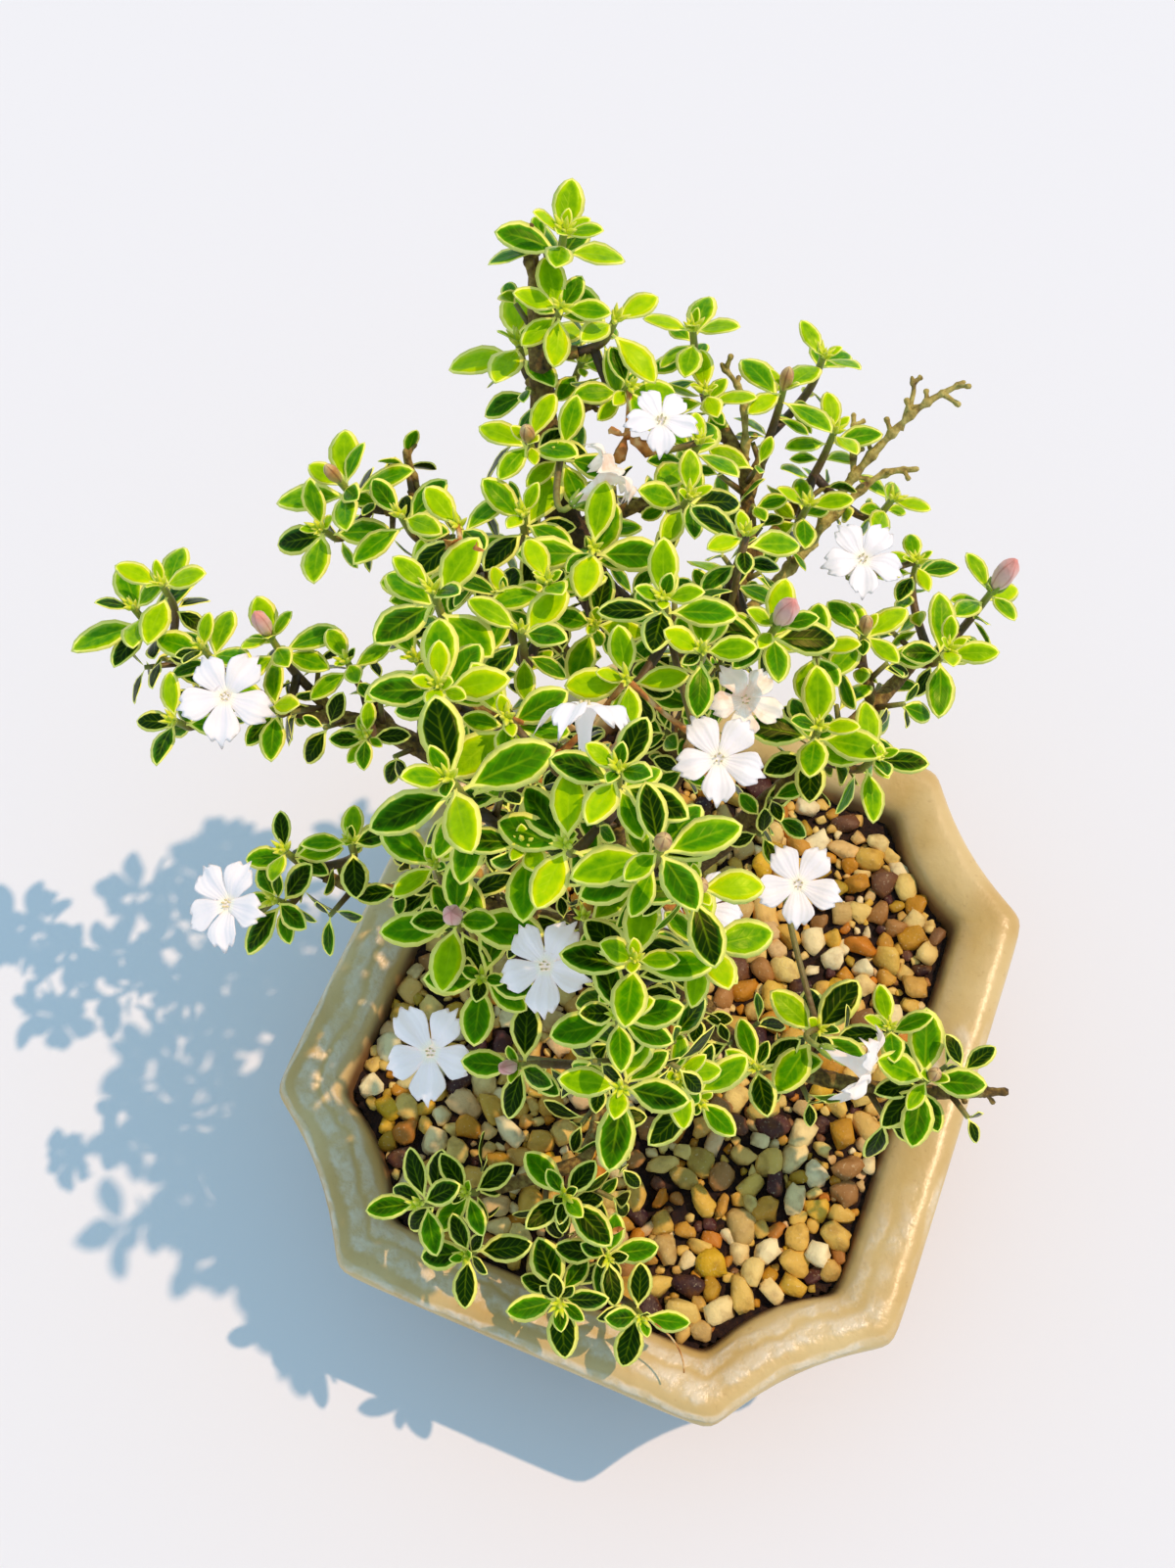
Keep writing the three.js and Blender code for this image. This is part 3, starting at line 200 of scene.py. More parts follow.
def makeLeafFinish():
    look = leafLook
    # the little glow stands for the light that comes through the pale margin of a thin leaf
    leaf = Finish("variegatedLeaf", Specular_IOR_Level=0.14, Specular_Tint=(1, 1, 0.2, 1),
                  Emission_Strength=look["glow"])
    edge = leaf.attribute("edge")
    along = leaf.attribute("along")
    across = leaf.attribute("across")
    tone = leaf.attribute("tone")
    mottle = leaf.noise(900, 4)
    wander = leaf.noise(420, 3)
    # partly the leaf's own variegation, partly painted shade: the blade is darkened towards its middle for
    # depth
    depth = leaf.step(edge, 0.2, 0.6) * look["shade"]  # a blade is darker towards its middle
    green = leaf.ramp(tone + depth + (mottle - 0.5) * look["mottle"], [
        (0.0, look["young"]), (0.28, look["bright"]), (0.6, look["middle"]), (1.0, look["dark"])])
    vein = (along * look["veins"] - abs(across) * look["veinSlant"]).wave()
    veins = leaf.step(vein, 0.6, 1.0) * leaf.step(edge, 0.15, 0.4) * (0.04 + mottle * 0.08)
    green = leaf.mix(veins, green, look["bright"])
    rib = (1 - leaf.step(abs(across), 0.0, look["ribWidth"])) * leaf.step(along, 0.95, 0.5)
    green = leaf.mix(rib * (0.48 - tone * 0.3), green, look["rib"])
    width = look["marginWidth"] + (wander - 0.5) * look["marginWander"]
    halo = 1 - leaf.step(edge - width, 0.0, look["haloWidth"])
    margin = 1 - leaf.step(edge - width, -0.03, 0.02)
    colour = leaf.mix(halo * look["halo"], green, look["rim"])
    creamTone = leaf.mix(leaf.step(mottle, 0.35, 0.7), look["margin"], look["rim"])
    colour = leaf.mix(margin, colour, leaf.mix(look["cream"], creamTone, look["margin"]))
    relief = mottle * 0.2 - rib * 0.2 - veins
    return leaf.feed(Base_Color=colour, Normal=leaf.bump(relief, 0.0002, 0.6), Roughness=0.22 + mottle * 0.2,
                     Emission_Color=leaf.mix(margin, (0, 0, 0), look["margin"]))


stemLook = {
    "ages": [(0.0, (152, 176, 58)), (0.35, (138, 134, 58)), (0.6, (112, 84, 42)), (1.0, (66, 46, 24))],
    "mottle": 0.3,
}


def makeStemFinish():
    stem = Finish("greenStem", Roughness=0.5)
    age = stem.attribute("age")
    grain = stem.noise(1400, 4)
    colour = stem.ramp(age + (grain - 0.5) * stemLook["mottle"], stemLook["ages"])
    return stem.feed(Base_Color=colour, Normal=stem.bump(grain, 0.0002))


barkLook = {
    "old": [(0.3, (20, 12, 6)), (0.48, (62, 42, 22)), (0.62, (104, 80, 50)), (0.8, (146, 126, 92))],
    "young": [(0.34, (52, 34, 12)), (0.5, (124, 94, 38)), (0.64, (170, 144, 72))], "turnsOld": (1.2, 2.6),
    "lichen": (142, 150, 104), "lichenCover": 0.45,
    "bare": [(0.34, (104, 78, 30)), (0.48, (172, 148, 70)), (0.62, (206, 186, 104))],
}


def makeBarkFinish():
    bark = Finish("bark", Roughness=0.85)
    girth = bark.attribute("girth")
    coarse = bark.noise(260, 6, roughness=0.65)
    fine = bark.noise(1500, 5)
    old = bark.ramp(coarse, barkLook["old"])
    young = bark.ramp(fine * 0.5 + coarse * 0.5, barkLook["young"])
    colour = bark.mix(bark.step(girth, *barkLook["turnsOld"]), young, old)
    lichen = bark.step(bark.noise(130, 4), 0.6, 0.72) * bark.step(fine, 0.45, 0.6)
    colour = bark.mix(lichen * barkLook["lichenCover"], colour, barkLook["lichen"])
    return bark.feed(Base_Color=colour, Normal=bark.bump(coarse * 0.7 + fine * 0.4, 0.0007),
                     Roughness=0.75 + fine * 0.2)


def makeTwigFinish():
    twig = Finish("bareTwig", Roughness=0.75)
    grain = twig.noise(900, 5)
    knot = twig.noise(300, 3)
    colour = twig.ramp(grain * 0.6 + knot * 0.4, barkLook["bare"])
    return twig.feed(Base_Color=colour, Normal=twig.bump(grain, 0.0005))


petalLook = {
    "foot": (222, 215, 216), "tip": (222, 217, 219), "crease": (232, 218, 230), "ray": (222, 208, 224),
    "throat": (240, 234, 196), "aged": (240, 224, 184), "wilted": (196, 146, 86), "withered": (140, 88, 40),
    "rays": 19, "glow": 0.28, "glowColour": (1, 0.9, 0.84, 1), "fadings": (0.0, 0.45, 1.0),
}


def makePetalFinish(name, faded):
    # the little glow stands for the light that comes through a thin petal
    look = petalLook
    petal = Finish(name, Roughness=0.55, Sheen_Weight=0.15, Emission_Color=look["glowColour"],
                   Emission_Strength=look["glow"])
    out = petal.attribute("along")
    across = petal.attribute("across")
    grain = petal.noise(1100, 4)
    white = petal.mix(petal.step(out, 0.6, 0.1), look["tip"], look["foot"])
    crease = (1 - petal.step(abs(across), 0.0, 0.2)) * petal.step(out, 0.9, 0.3)
    colour = petal.mix(crease * 0.3, white, look["crease"])
    ray = (across * look["rays"] + grain * 3).wave()
    colour = petal.mix(petal.step(ray, 0.2, 1.0) * 0.07, colour, look["ray"])
    colour = petal.mix(petal.step(out, 0.26, 0.1) * 0.6, colour, look["throat"])
    if faded:
        wilt = petal.step(petal.noise(300, 5), 0.46, 0.66)
        colour = petal.mix(faded * 0.55, colour, look["aged"])
        colour = petal.mix(wilt * faded * 0.8, colour, look["wilted"])
        colour = petal.mix(petal.step(out, 0.7, 1.05) * wilt * faded, colour, look["withered"])
    return petal.feed(Base_Color=colour, Normal=petal.bump(ray * 0.16 + grain * 0.5, 0.0002, 0.5))


budLook = {  # colours from foot to tip, and that of the streaks, if it has any
    "pinkBud": ([(0.0, (214, 206, 140)), (0.2, (250, 206, 190)), (0.7, (248, 190, 176)),
                 (1.0, (236, 150, 136))], (214, 130, 116)),
    "tanBud": ([(0.0, (160, 164, 50)), (0.35, (212, 172, 92)), (0.75, (206, 144, 78)),
                (1.0, (226, 192, 126))], (138, 74, 38)),
    "stamens": ([(0.0, (226, 226, 176)), (0.5, (238, 232, 190)), (1.0, (224, 206, 150))], None),
    "stipules": ([(0.0, (176, 204, 10)), (0.6, (226, 234, 16)), (1.0, (244, 234, 96))], None),
}


def makeBudFinish(name, stops, streak):
    bud = Finish(name, Roughness=0.45, Sheen_Weight=0.2)
    along = bud.attribute("along")
    grain = bud.noise(1500, 4)
    colour = bud.ramp(along + (grain - 0.5) * 0.25, stops)
    if streak:
        seam = bud.step(bud.attribute("across"), 0.45, 0.95)
        colour = bud.mix(seam * (0.5 + grain * 0.4), colour, streak)
    return bud.feed(Base_Color=colour, Normal=bud.bump(grain, 0.00015))


def makeGlazeFinish():
    glaze = Finish("caramelGlaze", Specular_IOR_Level=0.5, Coat_Weight=0.12, Coat_Roughness=0.25)
    over = glaze.attribute("over")
    cloud = glaze.noise(60, 5)
    speck = glaze.noise(900, 5)
    wave = glaze.noise(170, 4)
    base = glaze.mix(glaze.step(cloud, 0.3, 0.7), potLook["tan"], potLook["palerTan"])
    base = glaze.mix(glaze.step(speck, 0.6, 0.75) * 0.25, base, potLook["speck"])
    crackle = glaze.node("TexVoronoi", {"feature": "DISTANCE_TO_EDGE"},
                         {"Vector": glaze.place(), "Scale": 620})
    sideways, along, _ = glaze.parts(glaze.place())
    # the pale streaks, partly the glaze's own frosting and partly painted highlight along the lip's rounded
    # edge and inner slope, come and go round the rim, and are strongest at its near left
    frostAndHighlight = glaze.step(glaze.noise(46, 3) - along * 3.2 - sideways * 1.4, 0.4, 0.6)

    def streak(at, reach, width):
        line = abs(over - at + (wave - 0.5) * reach)
        return (1 - glaze.step(line, width * 0.2, width)) * frostAndHighlight

    inner, middle, outer = (streak(*potLook[name]) for name in ("innerStreak", "middleStreak", "outerStreak"))
    pale = glaze.step(inner + middle + outer, 0.0, 1.0)
    curdled = glaze.step(glaze.noise(340, 4, roughness=0.6), 0.36, 0.62)
    scaly = (0.8 + 0.2 * glaze.step(crackle, 0.02, 0.3)) * (0.35 + 0.65 * curdled)
    # the frost colour laid along the streaks is partly the glaze's own and partly painted highlight
    base = glaze.mix(pale * scaly * 0.62, base, potLook["frostAndHighlight"])
    wall = glaze.step(over, potLook["wallStart"], potLook["wallStart"] + 3)
    base = glaze.mix(wall * 0.9, base, potLook["innerWall"])
    # painted shade: the outer wall under the overhanging lip is darkened towards brown-grey
    under = glaze.step(over, potLook["lipStart"] + 1.2, potLook["lipStart"] - 0.8)
    base = glaze.mix(under * 0.6, base, potLook["shadedOuterWall"])
    clay = glaze.step(over, 4.0, 2.5)
    base = glaze.mix(clay, base, potLook["clay"])
    ripple = wave * 0.7 + glaze.noise(520, 3) * 0.3 + pale * scaly * 0.4
    return glaze.feed(Base_Color=base, Roughness=0.3 + clay * 0.5 + wall * 0.25 + speck * 0.1,
                      Normal=glaze.bump(ripple, 0.0007, 0.6))


pebbleLook = {
    "kinds": [(0.0, (216, 168, 64)), (0.12, (242, 214, 128)), (0.24, (200, 132, 26)), (0.36, (230, 192, 92)),
              (0.48, (254, 236, 184)), (0.6, (222, 174, 28)), (0.7, (236, 196, 142)), (0.79, (178, 148, 42)),
              (0.85, (206, 124, 28)), (0.9, (168, 122, 70)), (0.94, (84, 46, 44)), (1.0, (44, 22, 32))],
    "blotch": (132, 84, 28), "grit": (250, 234, 188),
}


def makePebbleFinish():
    pebble = Finish("pebble", Specular_IOR_Level=0.3, Specular_Tint=(1, 0.9, 0.7, 1))
    kind = pebble.attribute("kind")
    blotch = pebble.noise(420, 5)
    grit = pebble.noise(2200, 4)
    colour = pebble.ramp(kind, pebbleLook["kinds"])
    colour = pebble.mix(pebble.step(blotch, 0.45, 0.78) * 0.55, colour, pebbleLook["blotch"])
    colour = pebble.mix(pebble.step(grit, 0.6, 0.75) * 0.35, colour, pebbleLook["grit"])
    return pebble.feed(Base_Color=colour, Normal=pebble.bump(blotch * 0.5 + grit * 0.3, 0.0004),
                       Roughness=0.32 + blotch * 0.3)


soilLook = {"grains": [(0.35, (24, 10, 14)), (0.55, (50, 26, 16)), (0.75, (104, 68, 28))]}


def makeSoilFinish():
    soil = Finish("dampSoil", Roughness=0.9)
    grain = soil.noise(700, 6, roughness=0.7)
    colour = soil.ramp(grain, soilLook["grains"])
    return soil.feed(Base_Color=colour, Normal=soil.bump(grain, 0.001))


screenLook = {"dark": (30, 34, 32), "light": (52, 58, 54)}


def makeScreenFinish():
    screen = Finish("screenMesh", Roughness=0.55)
    grain = screen.noise(900, 3)
    return screen.feed(Base_Color=screen.mix(grain, screenLook["dark"], screenLook["light"]))


driedLook = {"patches": [(0.3, (140, 76, 24)), (0.5, (206, 134, 58)), (0.7, (236, 198, 136))]}


def makeSpentFinish():
    spent = Finish("spentFlower", Roughness=0.7)
    grain = spent.noise(500, 5)
    colour = spent.ramp(grain, driedLook["patches"])
    return spent.feed(Base_Color=colour, Normal=spent.bump(grain, 0.0004))


def newObject(name, data):
    made = bpy.data.objects.new(name, data)
    bpy.context.scene.collection.objects.link(made)
    return made


def meshFrom(name, bm):
    mesh = bpy.data.meshes.new(name)
    bm.to_mesh(mesh)
    bm.free()
    return mesh


def newPiece(name, bm, node=None, materials=(), smooth=True):
    bmesh.ops.transform(bm, matrix=potToRow, verts=bm.verts)
    mesh = meshFrom(name, bm)
    piece = newObject(name, mesh)
    for material in materials:
        mesh.materials.append(material)
    for polygon in mesh.polygons:
        polygon.use_smooth = smooth
    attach(piece, "root")
    if node:
        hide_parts(node)
    return piece


def layersOf(bm, *names):
    return {name: bm.verts.layers.float.get(name) or bm.verts.layers.float.new(name) for name in names}


def smoothRoute(route):
    # a curve through the places of a route, from 0 to 1
    points = [Vector(place) for place in route]
    count = len(points) - 1
    full = [2 * points[0] - points[1], *points, 2 * points[-1] - points[-2]]

    def pointAt(along):
        place = along * count
        part = min(max(math.floor(place), 0), count - 1)
        t = place - part
        p0, p1, p2, p3 = full[part:part + 4]
        return 0.5 * ((2 - 5 * t * t + 3 * t ** 3) * p1 + (-t + 2 * t * t - t ** 3) * p0
                      + (t + 4 * t * t - 3 * t ** 3) * p2 + (-t * t + t ** 3) * p3)

    return pointAt


def bow(start, end, axis, stiffness):
    # a bent stalk that arrives along its axis, and runs straight on past 1
    span = (end - start).length
    control = end - axis * stiffness * span

    def pointAt(t):
        if t > 1:
            return end + axis * span * (t - 1)
        return start * (1 - t) ** 2 + control * 2 * t * (1 - t) + end * t * t

    return pointAt


def tangentOf(pointAt, along):
    return (pointAt(along + tiny) - pointAt(along - tiny)).normalized()


def squareTo(tangent, before):
    # a way square to a tube, turned as little as can be from the one before
    before = before or Vector((tangent.z, tangent.x, tangent.y))
    return (before - tangent * before.dot(tangent)).normalized()


def extrudeRing(bm, ring, edges):
    made = bmesh.ops.extrude_edge_only(bm, edges=edges)["geom"]
    fresh = {item for item in made if isinstance(item, bmesh.types.BMVert)}
    partner = {edge.other_vert(vertex): vertex for vertex in fresh for edge in vertex.link_edges}
    edges = [item for item in made if isinstance(item, bmesh.types.BMEdge)
             and item.verts[0] in fresh and item.verts[1] in fresh]
    return [partner[vertex] for vertex in ring], edges


def growTube(bm, pointAt, stops, radii, sides, marks=None):
    # a closed tube: a ring is drawn at the first stop and extruded from stop to stop
    ring = bmesh.ops.create_circle(bm, cap_ends=True, segments=sides, radius=1)["verts"]
    edges = [bm.edges.get((ring[index - 1], ring[index])) for index in range(sides)]
    angles = [math.tau * index / sides for index in range(sides)]
    normal = None
    rings = []
    for index, along in enumerate(stops):
        tangent = tangentOf(pointAt, along)
        normal = squareTo(tangent, normal)
        beside = tangent.cross(normal)
        if index:
            ring, edges = extrudeRing(bm, ring, edges)
        centre = pointAt(along)
        for vertex, angle in zip(ring, angles):
            vertex.co = centre + radii[index] * (normal * math.cos(angle) + beside * math.sin(angle))
            for layer, value in (marks or {}).items():
                vertex[layer] = value[index] if isinstance(value, (list, tuple)) else value
        rings.append(ring)
    bmesh.ops.contextual_create(bm, geom=edges)
    return rings


def evenStops(start, end, steps):
    return [start + (end - start) * index / steps for index in range(steps + 1)]


def makeBlade(name, form, marks, cornerAt):
    # a thin blade laid flat: x runs out from its foot and y across, and its two faces share their edge
    bm = bmesh.new()
    layers = layersOf(bm, *marks)
    for side in (1, -1):
        made = bmesh.ops.create_grid(bm, x_segments=form["rows"], y_segments=form["columns"], size=0.5)
        for vertex in made["verts"]:
            vertex.co, values = cornerAt(vertex.co.x + 0.5, 2 * vertex.co.y, side)
            for mark, value in zip(marks, values):
                vertex[layers[mark]] = value
        if side < 0:
            faces = list({face for vertex in made["verts"] for face in vertex.link_faces})
            bmesh.ops.reverse_faces(bm, faces=faces)
    bmesh.ops.remove_doubles(bm, verts=bm.verts, dist=1e-4)
    return meshFrom(name, bm)


def treeOf(places):
    tree = KDTree(len(places))
    for index, place in enumerate(places):
        tree.insert(place, index)
    tree.balance()
    return tree


def cornersOf(nodeName):
    # a node's corners, to look up how its parts were laid
    return treeOf([rowToPot @ vertex.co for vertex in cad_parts[nodeName].data.vertices])


def stands(tree, corner):
    return tree.find(corner)[2] < rule["cornerSlack"]


def drawsFrom(seed):
    # the same stream of numbers as the solids were laid out with
    state = seed & 0xFFFFFFFF

    def draw():
        nonlocal state
        state = (state + 0x6D2B79F5) & 0xFFFFFFFF
        mixed = ((state ^ (state >> 15)) * (1 | state)) & 0xFFFFFFFF
        mixed = ((mixed + ((mixed ^ (mixed >> 7)) * (61 | mixed) & 0xFFFFFFFF)) & 0xFFFFFFFF) ^ mixed
        return (mixed ^ (mixed >> 14)) / 4294967296

    return draw


pot = {"halfWidth": 50, "halfLength": 56, "corner": 20.5, "scallop": 2.8, "rounding": 9, "footHeight": 4.5,
       "floorTop": 9.5, "drainRadius": 5.5, "drainOffset": 17, "footInsets": (13.7, 20),
       "footReach": (17, 23), "footBevel": 0.4}
# height, and distance inwards from the rim's outline: up the outside, over the lip and down inside
potProfile = [
    (4.5, 12.5), (8, 10.8), (16, 9), (24, 7.2), (28.4, 5.4), (30.4, 3.6), (31.4, 1.5), (32.6, 0.4),
    (34.4, 0), (36.2, 0.05), (37.4, 0.9), (38, 2.6), (37.8, 4.6), (37.2, 6.6), (36, 8.6), (34, 9.5),
    (31, 10.1), (22, 12.1), (9.5, 15)]
# how far up and over the profile the lip, the bare inner wall and the streaks begin, and each streak's wander
# and width
potLook = {"lipStart": 31.5, "wallStart": 45.4, "outerStreak": (36.6, 2.4, 1.0),
           "middleStreak": (40.4, 4.4, 2.1), "innerStreak": (43.6, 4.0, 1.7),
           "tan": (204, 166, 96), "palerTan": (222, 192, 132), "speck": (166, 120, 58),
           "frostAndHighlight": (244, 232, 212), "innerWall": (112, 74, 40), "shadedOuterWall": (140, 108, 74),
           "clay": (128, 98, 72)}


def outline(inset, height):
    # the pot's outline, so far inside that of its rim
    halfWidth = pot["halfWidth"] - inset
    halfLength = pot["halfLength"] - inset
    cut = pot["corner"] - inset * (2 - math.sqrt(2))
    runs = [14, 8, 4.5, 2.4, 1.0, 0.3]
    shares = [0, 0.02, 0.05, 0.1, 0.18, 0.28, 0.39, 0.5, 0.61, 0.72, 0.82, 0.9, 0.95, 0.98, 1]
    points = []
    for signX, signY in corners:
        tips = [(halfWidth, halfLength - cut), (halfWidth - cut, halfLength)]
        edgeFirst = signX * signY > 0
        if not edgeFirst:
            tips.reverse()
        (x0, y0), (x1, y1) = tips
        runX, runY = (0, 1) if edgeFirst else (1, 0)
        corner = [(x0 - runX * run, y0 - runY * run) for run in runs]
        for t in shares:
            dip = pot["scallop"] * max(math.sin(math.pi * t), 0) ** 0.8 * math.sqrt(0.5)
            corner.append((x0 + (x1 - x0) * t - dip, y0 + (y1 - y0) * t - dip))
        corner += [(x1 - runY * run, y1 - runX * run) for run in reversed(runs)]
        points += [Vector((signX * x, signY * y, height)) for x, y in corner]
    for _ in range(pot["rounding"]):
        points = [(points[index - 1] + 2 * points[index] + points[(index + 1) % len(points)]) / 4
                  for index in range(len(points))]
    return points


def makePot():
    bm = bmesh.new()
    layers = layersOf(bm, "over")
    curve = smoothRoute([(height, inset, 0) for height, inset in potProfile])
    over = 0.0
    before = curve(0)
    ring = [bm.verts.new(point) for point in outline(before.y, before.x)]
    footEdges = [bm.edges.new((ring[index - 1], ring[index])) for index in range(len(ring))]
    edges = footEdges
    for stop in evenStops(0, 1, (len(potProfile) - 1) * 3)[1:]:
        place = curve(stop)
        over += (place - before).length
        before = place
        ring, edges = extrudeRing(bm, ring, edges)
        for vertex, point in zip(ring, outline(place.y, place.x)):
            vertex.co = point
            vertex[layers["over"]] = over
    bmesh.ops.contextual_create(bm, geom=edges)
    bmesh.ops.contextual_create(bm, geom=footEdges)
    bmesh.ops.recalc_face_normals(bm, faces=bm.faces)
    body = newPiece("glazed_pot", bm, "pot", [glazeFinish])
    cutters = bmesh.new()
    for side in (-1, 1):
        bmesh.ops.create_cone(cutters, cap_ends=True, segments=40, radius1=pot["drainRadius"],
                              radius2=pot["drainRadius"], depth=20,
                              matrix=Matrix.Translation((0, side * pot["drainOffset"], pot["floorTop"])))
    drains = newPiece("drains", cutters)
    cutModifier = body.modifiers.new("drains", "BOOLEAN")
    cutModifier.operation = "DIFFERENCE"
    cutModifier.object = drains
    keepShape(body)
    bpy.data.objects.remove(drains)
    for polygon in body.data.polygons:
        polygon.use_smooth = True
    sharpenFlat(body)
    print("pot: over the profile", round(over, 1), "mm,", len(body.data.polygons), "faces")


def keepShape(piece):
    # applies a piece's modifiers
    evaluated = piece.evaluated_get(bpy.context.evaluated_depsgraph_get())
    mesh = bpy.data.meshes.new_from_object(evaluated)
    mesh.name = piece.name
    piece.modifiers.clear()
    piece.data = mesh


def sharpenFlat(piece, angle=50):
    bm = bmesh.new()
    bm.from_mesh(piece.data)
    for edge in bm.edges:
        if len(edge.link_faces) == 2 and edge.calc_face_angle(0) > math.radians(angle):
            edge.smooth = False
    bm.to_mesh(piece.data)
    bm.free()


def makeFeet():
    bm = bmesh.new()
    layersOf(bm, "over")  # stays 0, where the glaze shows as bare clay
    outer, inner = (outline(inset, 0) for inset in pot["footInsets"])
    reachX, reachY = pot["footReach"]
    for signX, signY in corners:
        chosen = [index for index, point in enumerate(outer)
                  if point.x * signX > reachX and point.y * signY > reachY]
        outerRun = [outer[index] for index in chosen]
        innerRun = [inner[index] for index in chosen]
        bottom = [bm.verts.new(point) for point in outerRun + list(reversed(innerRun))]
        face = bm.faces.new(bottom)
        raised = bmesh.ops.extrude_face_region(bm, geom=[face])["geom"]
        moved = [item for item in raised if isinstance(item, bmesh.types.BMVert)]
        bmesh.ops.translate(bm, verts=moved, vec=(0, 0, pot["footHeight"] + 0.8))
    bmesh.ops.recalc_face_normals(bm, faces=bm.faces)
    rims = [edge for edge in bm.edges if max(vertex.co.z for vertex in edge.verts) < 0.1
            and len(edge.link_faces) == 2 and edge.calc_face_angle(0) > 1]
    bmesh.ops.bevel(bm, geom=rims, offset=pot["footBevel"], segments=2, profile=0.5, affect="EDGES",
                    material=-1)
    newPiece("pot_feet", bm, None, [glazeFinish], smooth=False)


screenForm = {"size": 15, "cells": 11, "wire": 0.45, "lift": 0.75}


def makeScreens():
    cells = screenForm["cells"]
    for side, name in ((-1, "drain_screen_front"), (1, "drain_screen_back")):
        bm = bmesh.new()
        middle = (0, side * pot["drainOffset"], pot["floorTop"] + screenForm["lift"])
        bmesh.ops.create_grid(bm, x_segments=cells, y_segments=cells, size=screenForm["size"] / 2,
                              matrix=Matrix.Translation(middle))
        bmesh.ops.wireframe(bm, faces=bm.faces, thickness=screenForm["wire"], use_replace=True,
                            use_boundary=True, use_even_offset=True)
        newPiece(name.replace("drain_", "woven_"), bm, name, [screenFinish], smooth=False)


bed = {"bottom": 30.9, "top": 34, "wallInset": 10.1, "cells": (84, 96), "cell": 1.0, "trunkClear": 6.4,
       "pebbles": 1900, "tries": 34000, "coarseTries": 14000, "smallest": 0.6, "largest": 2.4,
       "overlap": 0.76, "facets": 5, "facetDepths": (0.5, 0.85), "facetCut": 0.85, "tilt": 0.6,
       "shares": ((0.85, 1.25), (0.7, 1.0), (0.55, 0.8)), "lifts": (0.45, 1.0), "tallest": 1.7,
       "spread": (42, 48), "barePatch": 0.28, "bareness": 0.75}
trunkFoot = Vector((-2, 4, 0))


def insideBed(x, y, margin):
    halfWidth = pot["halfWidth"] - bed["wallInset"] - margin
    halfLength = pot["halfLength"] - bed["wallInset"] - margin
    cut = pot["corner"] - (bed["wallInset"] + margin) * (2 - math.sqrt(2)) + pot["scallop"] * 0.9
    return abs(x) < halfWidth and abs(y) < halfLength and abs(x) + abs(y) < halfWidth + halfLength - cut


def makeSoil():
    bm = bmesh.new()
    columns, rows = bed["cells"]
    bmesh.ops.create_grid(bm, x_segments=columns, y_segments=rows, size=0.5)
    for vertex in bm.verts:
        vertex.co.x *= columns * bed["cell"]
        vertex.co.y *= rows * bed["cell"]
    outside = [face for face in bm.faces if not insideBed(*face.calc_center_median().xy, -0.9)]
    bmesh.ops.delete(bm, geom=outside, context="FACES")
    for vertex in bm.verts:
        rough = noise.noise(vertex.co * 0.9) * 0.7 + noise.noise(vertex.co * 0.25) * 0.6
        vertex.co.z = bed["bottom"] + 0.5 + rough
    made = bmesh.ops.extrude_face_region(bm, geom=bm.faces[:])["geom"]
    for item in made:
        if isinstance(item, bmesh.types.BMVert):
            item.co.z = bed["bottom"] - 0.3
    bmesh.ops.recalc_face_normals(bm, faces=bm.faces)
    newPiece("soil_crumbs", bm, None, [soilFinish])
    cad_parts["soil"].data.materials.clear()
    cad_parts["soil"].data.materials.append(soilFinish)


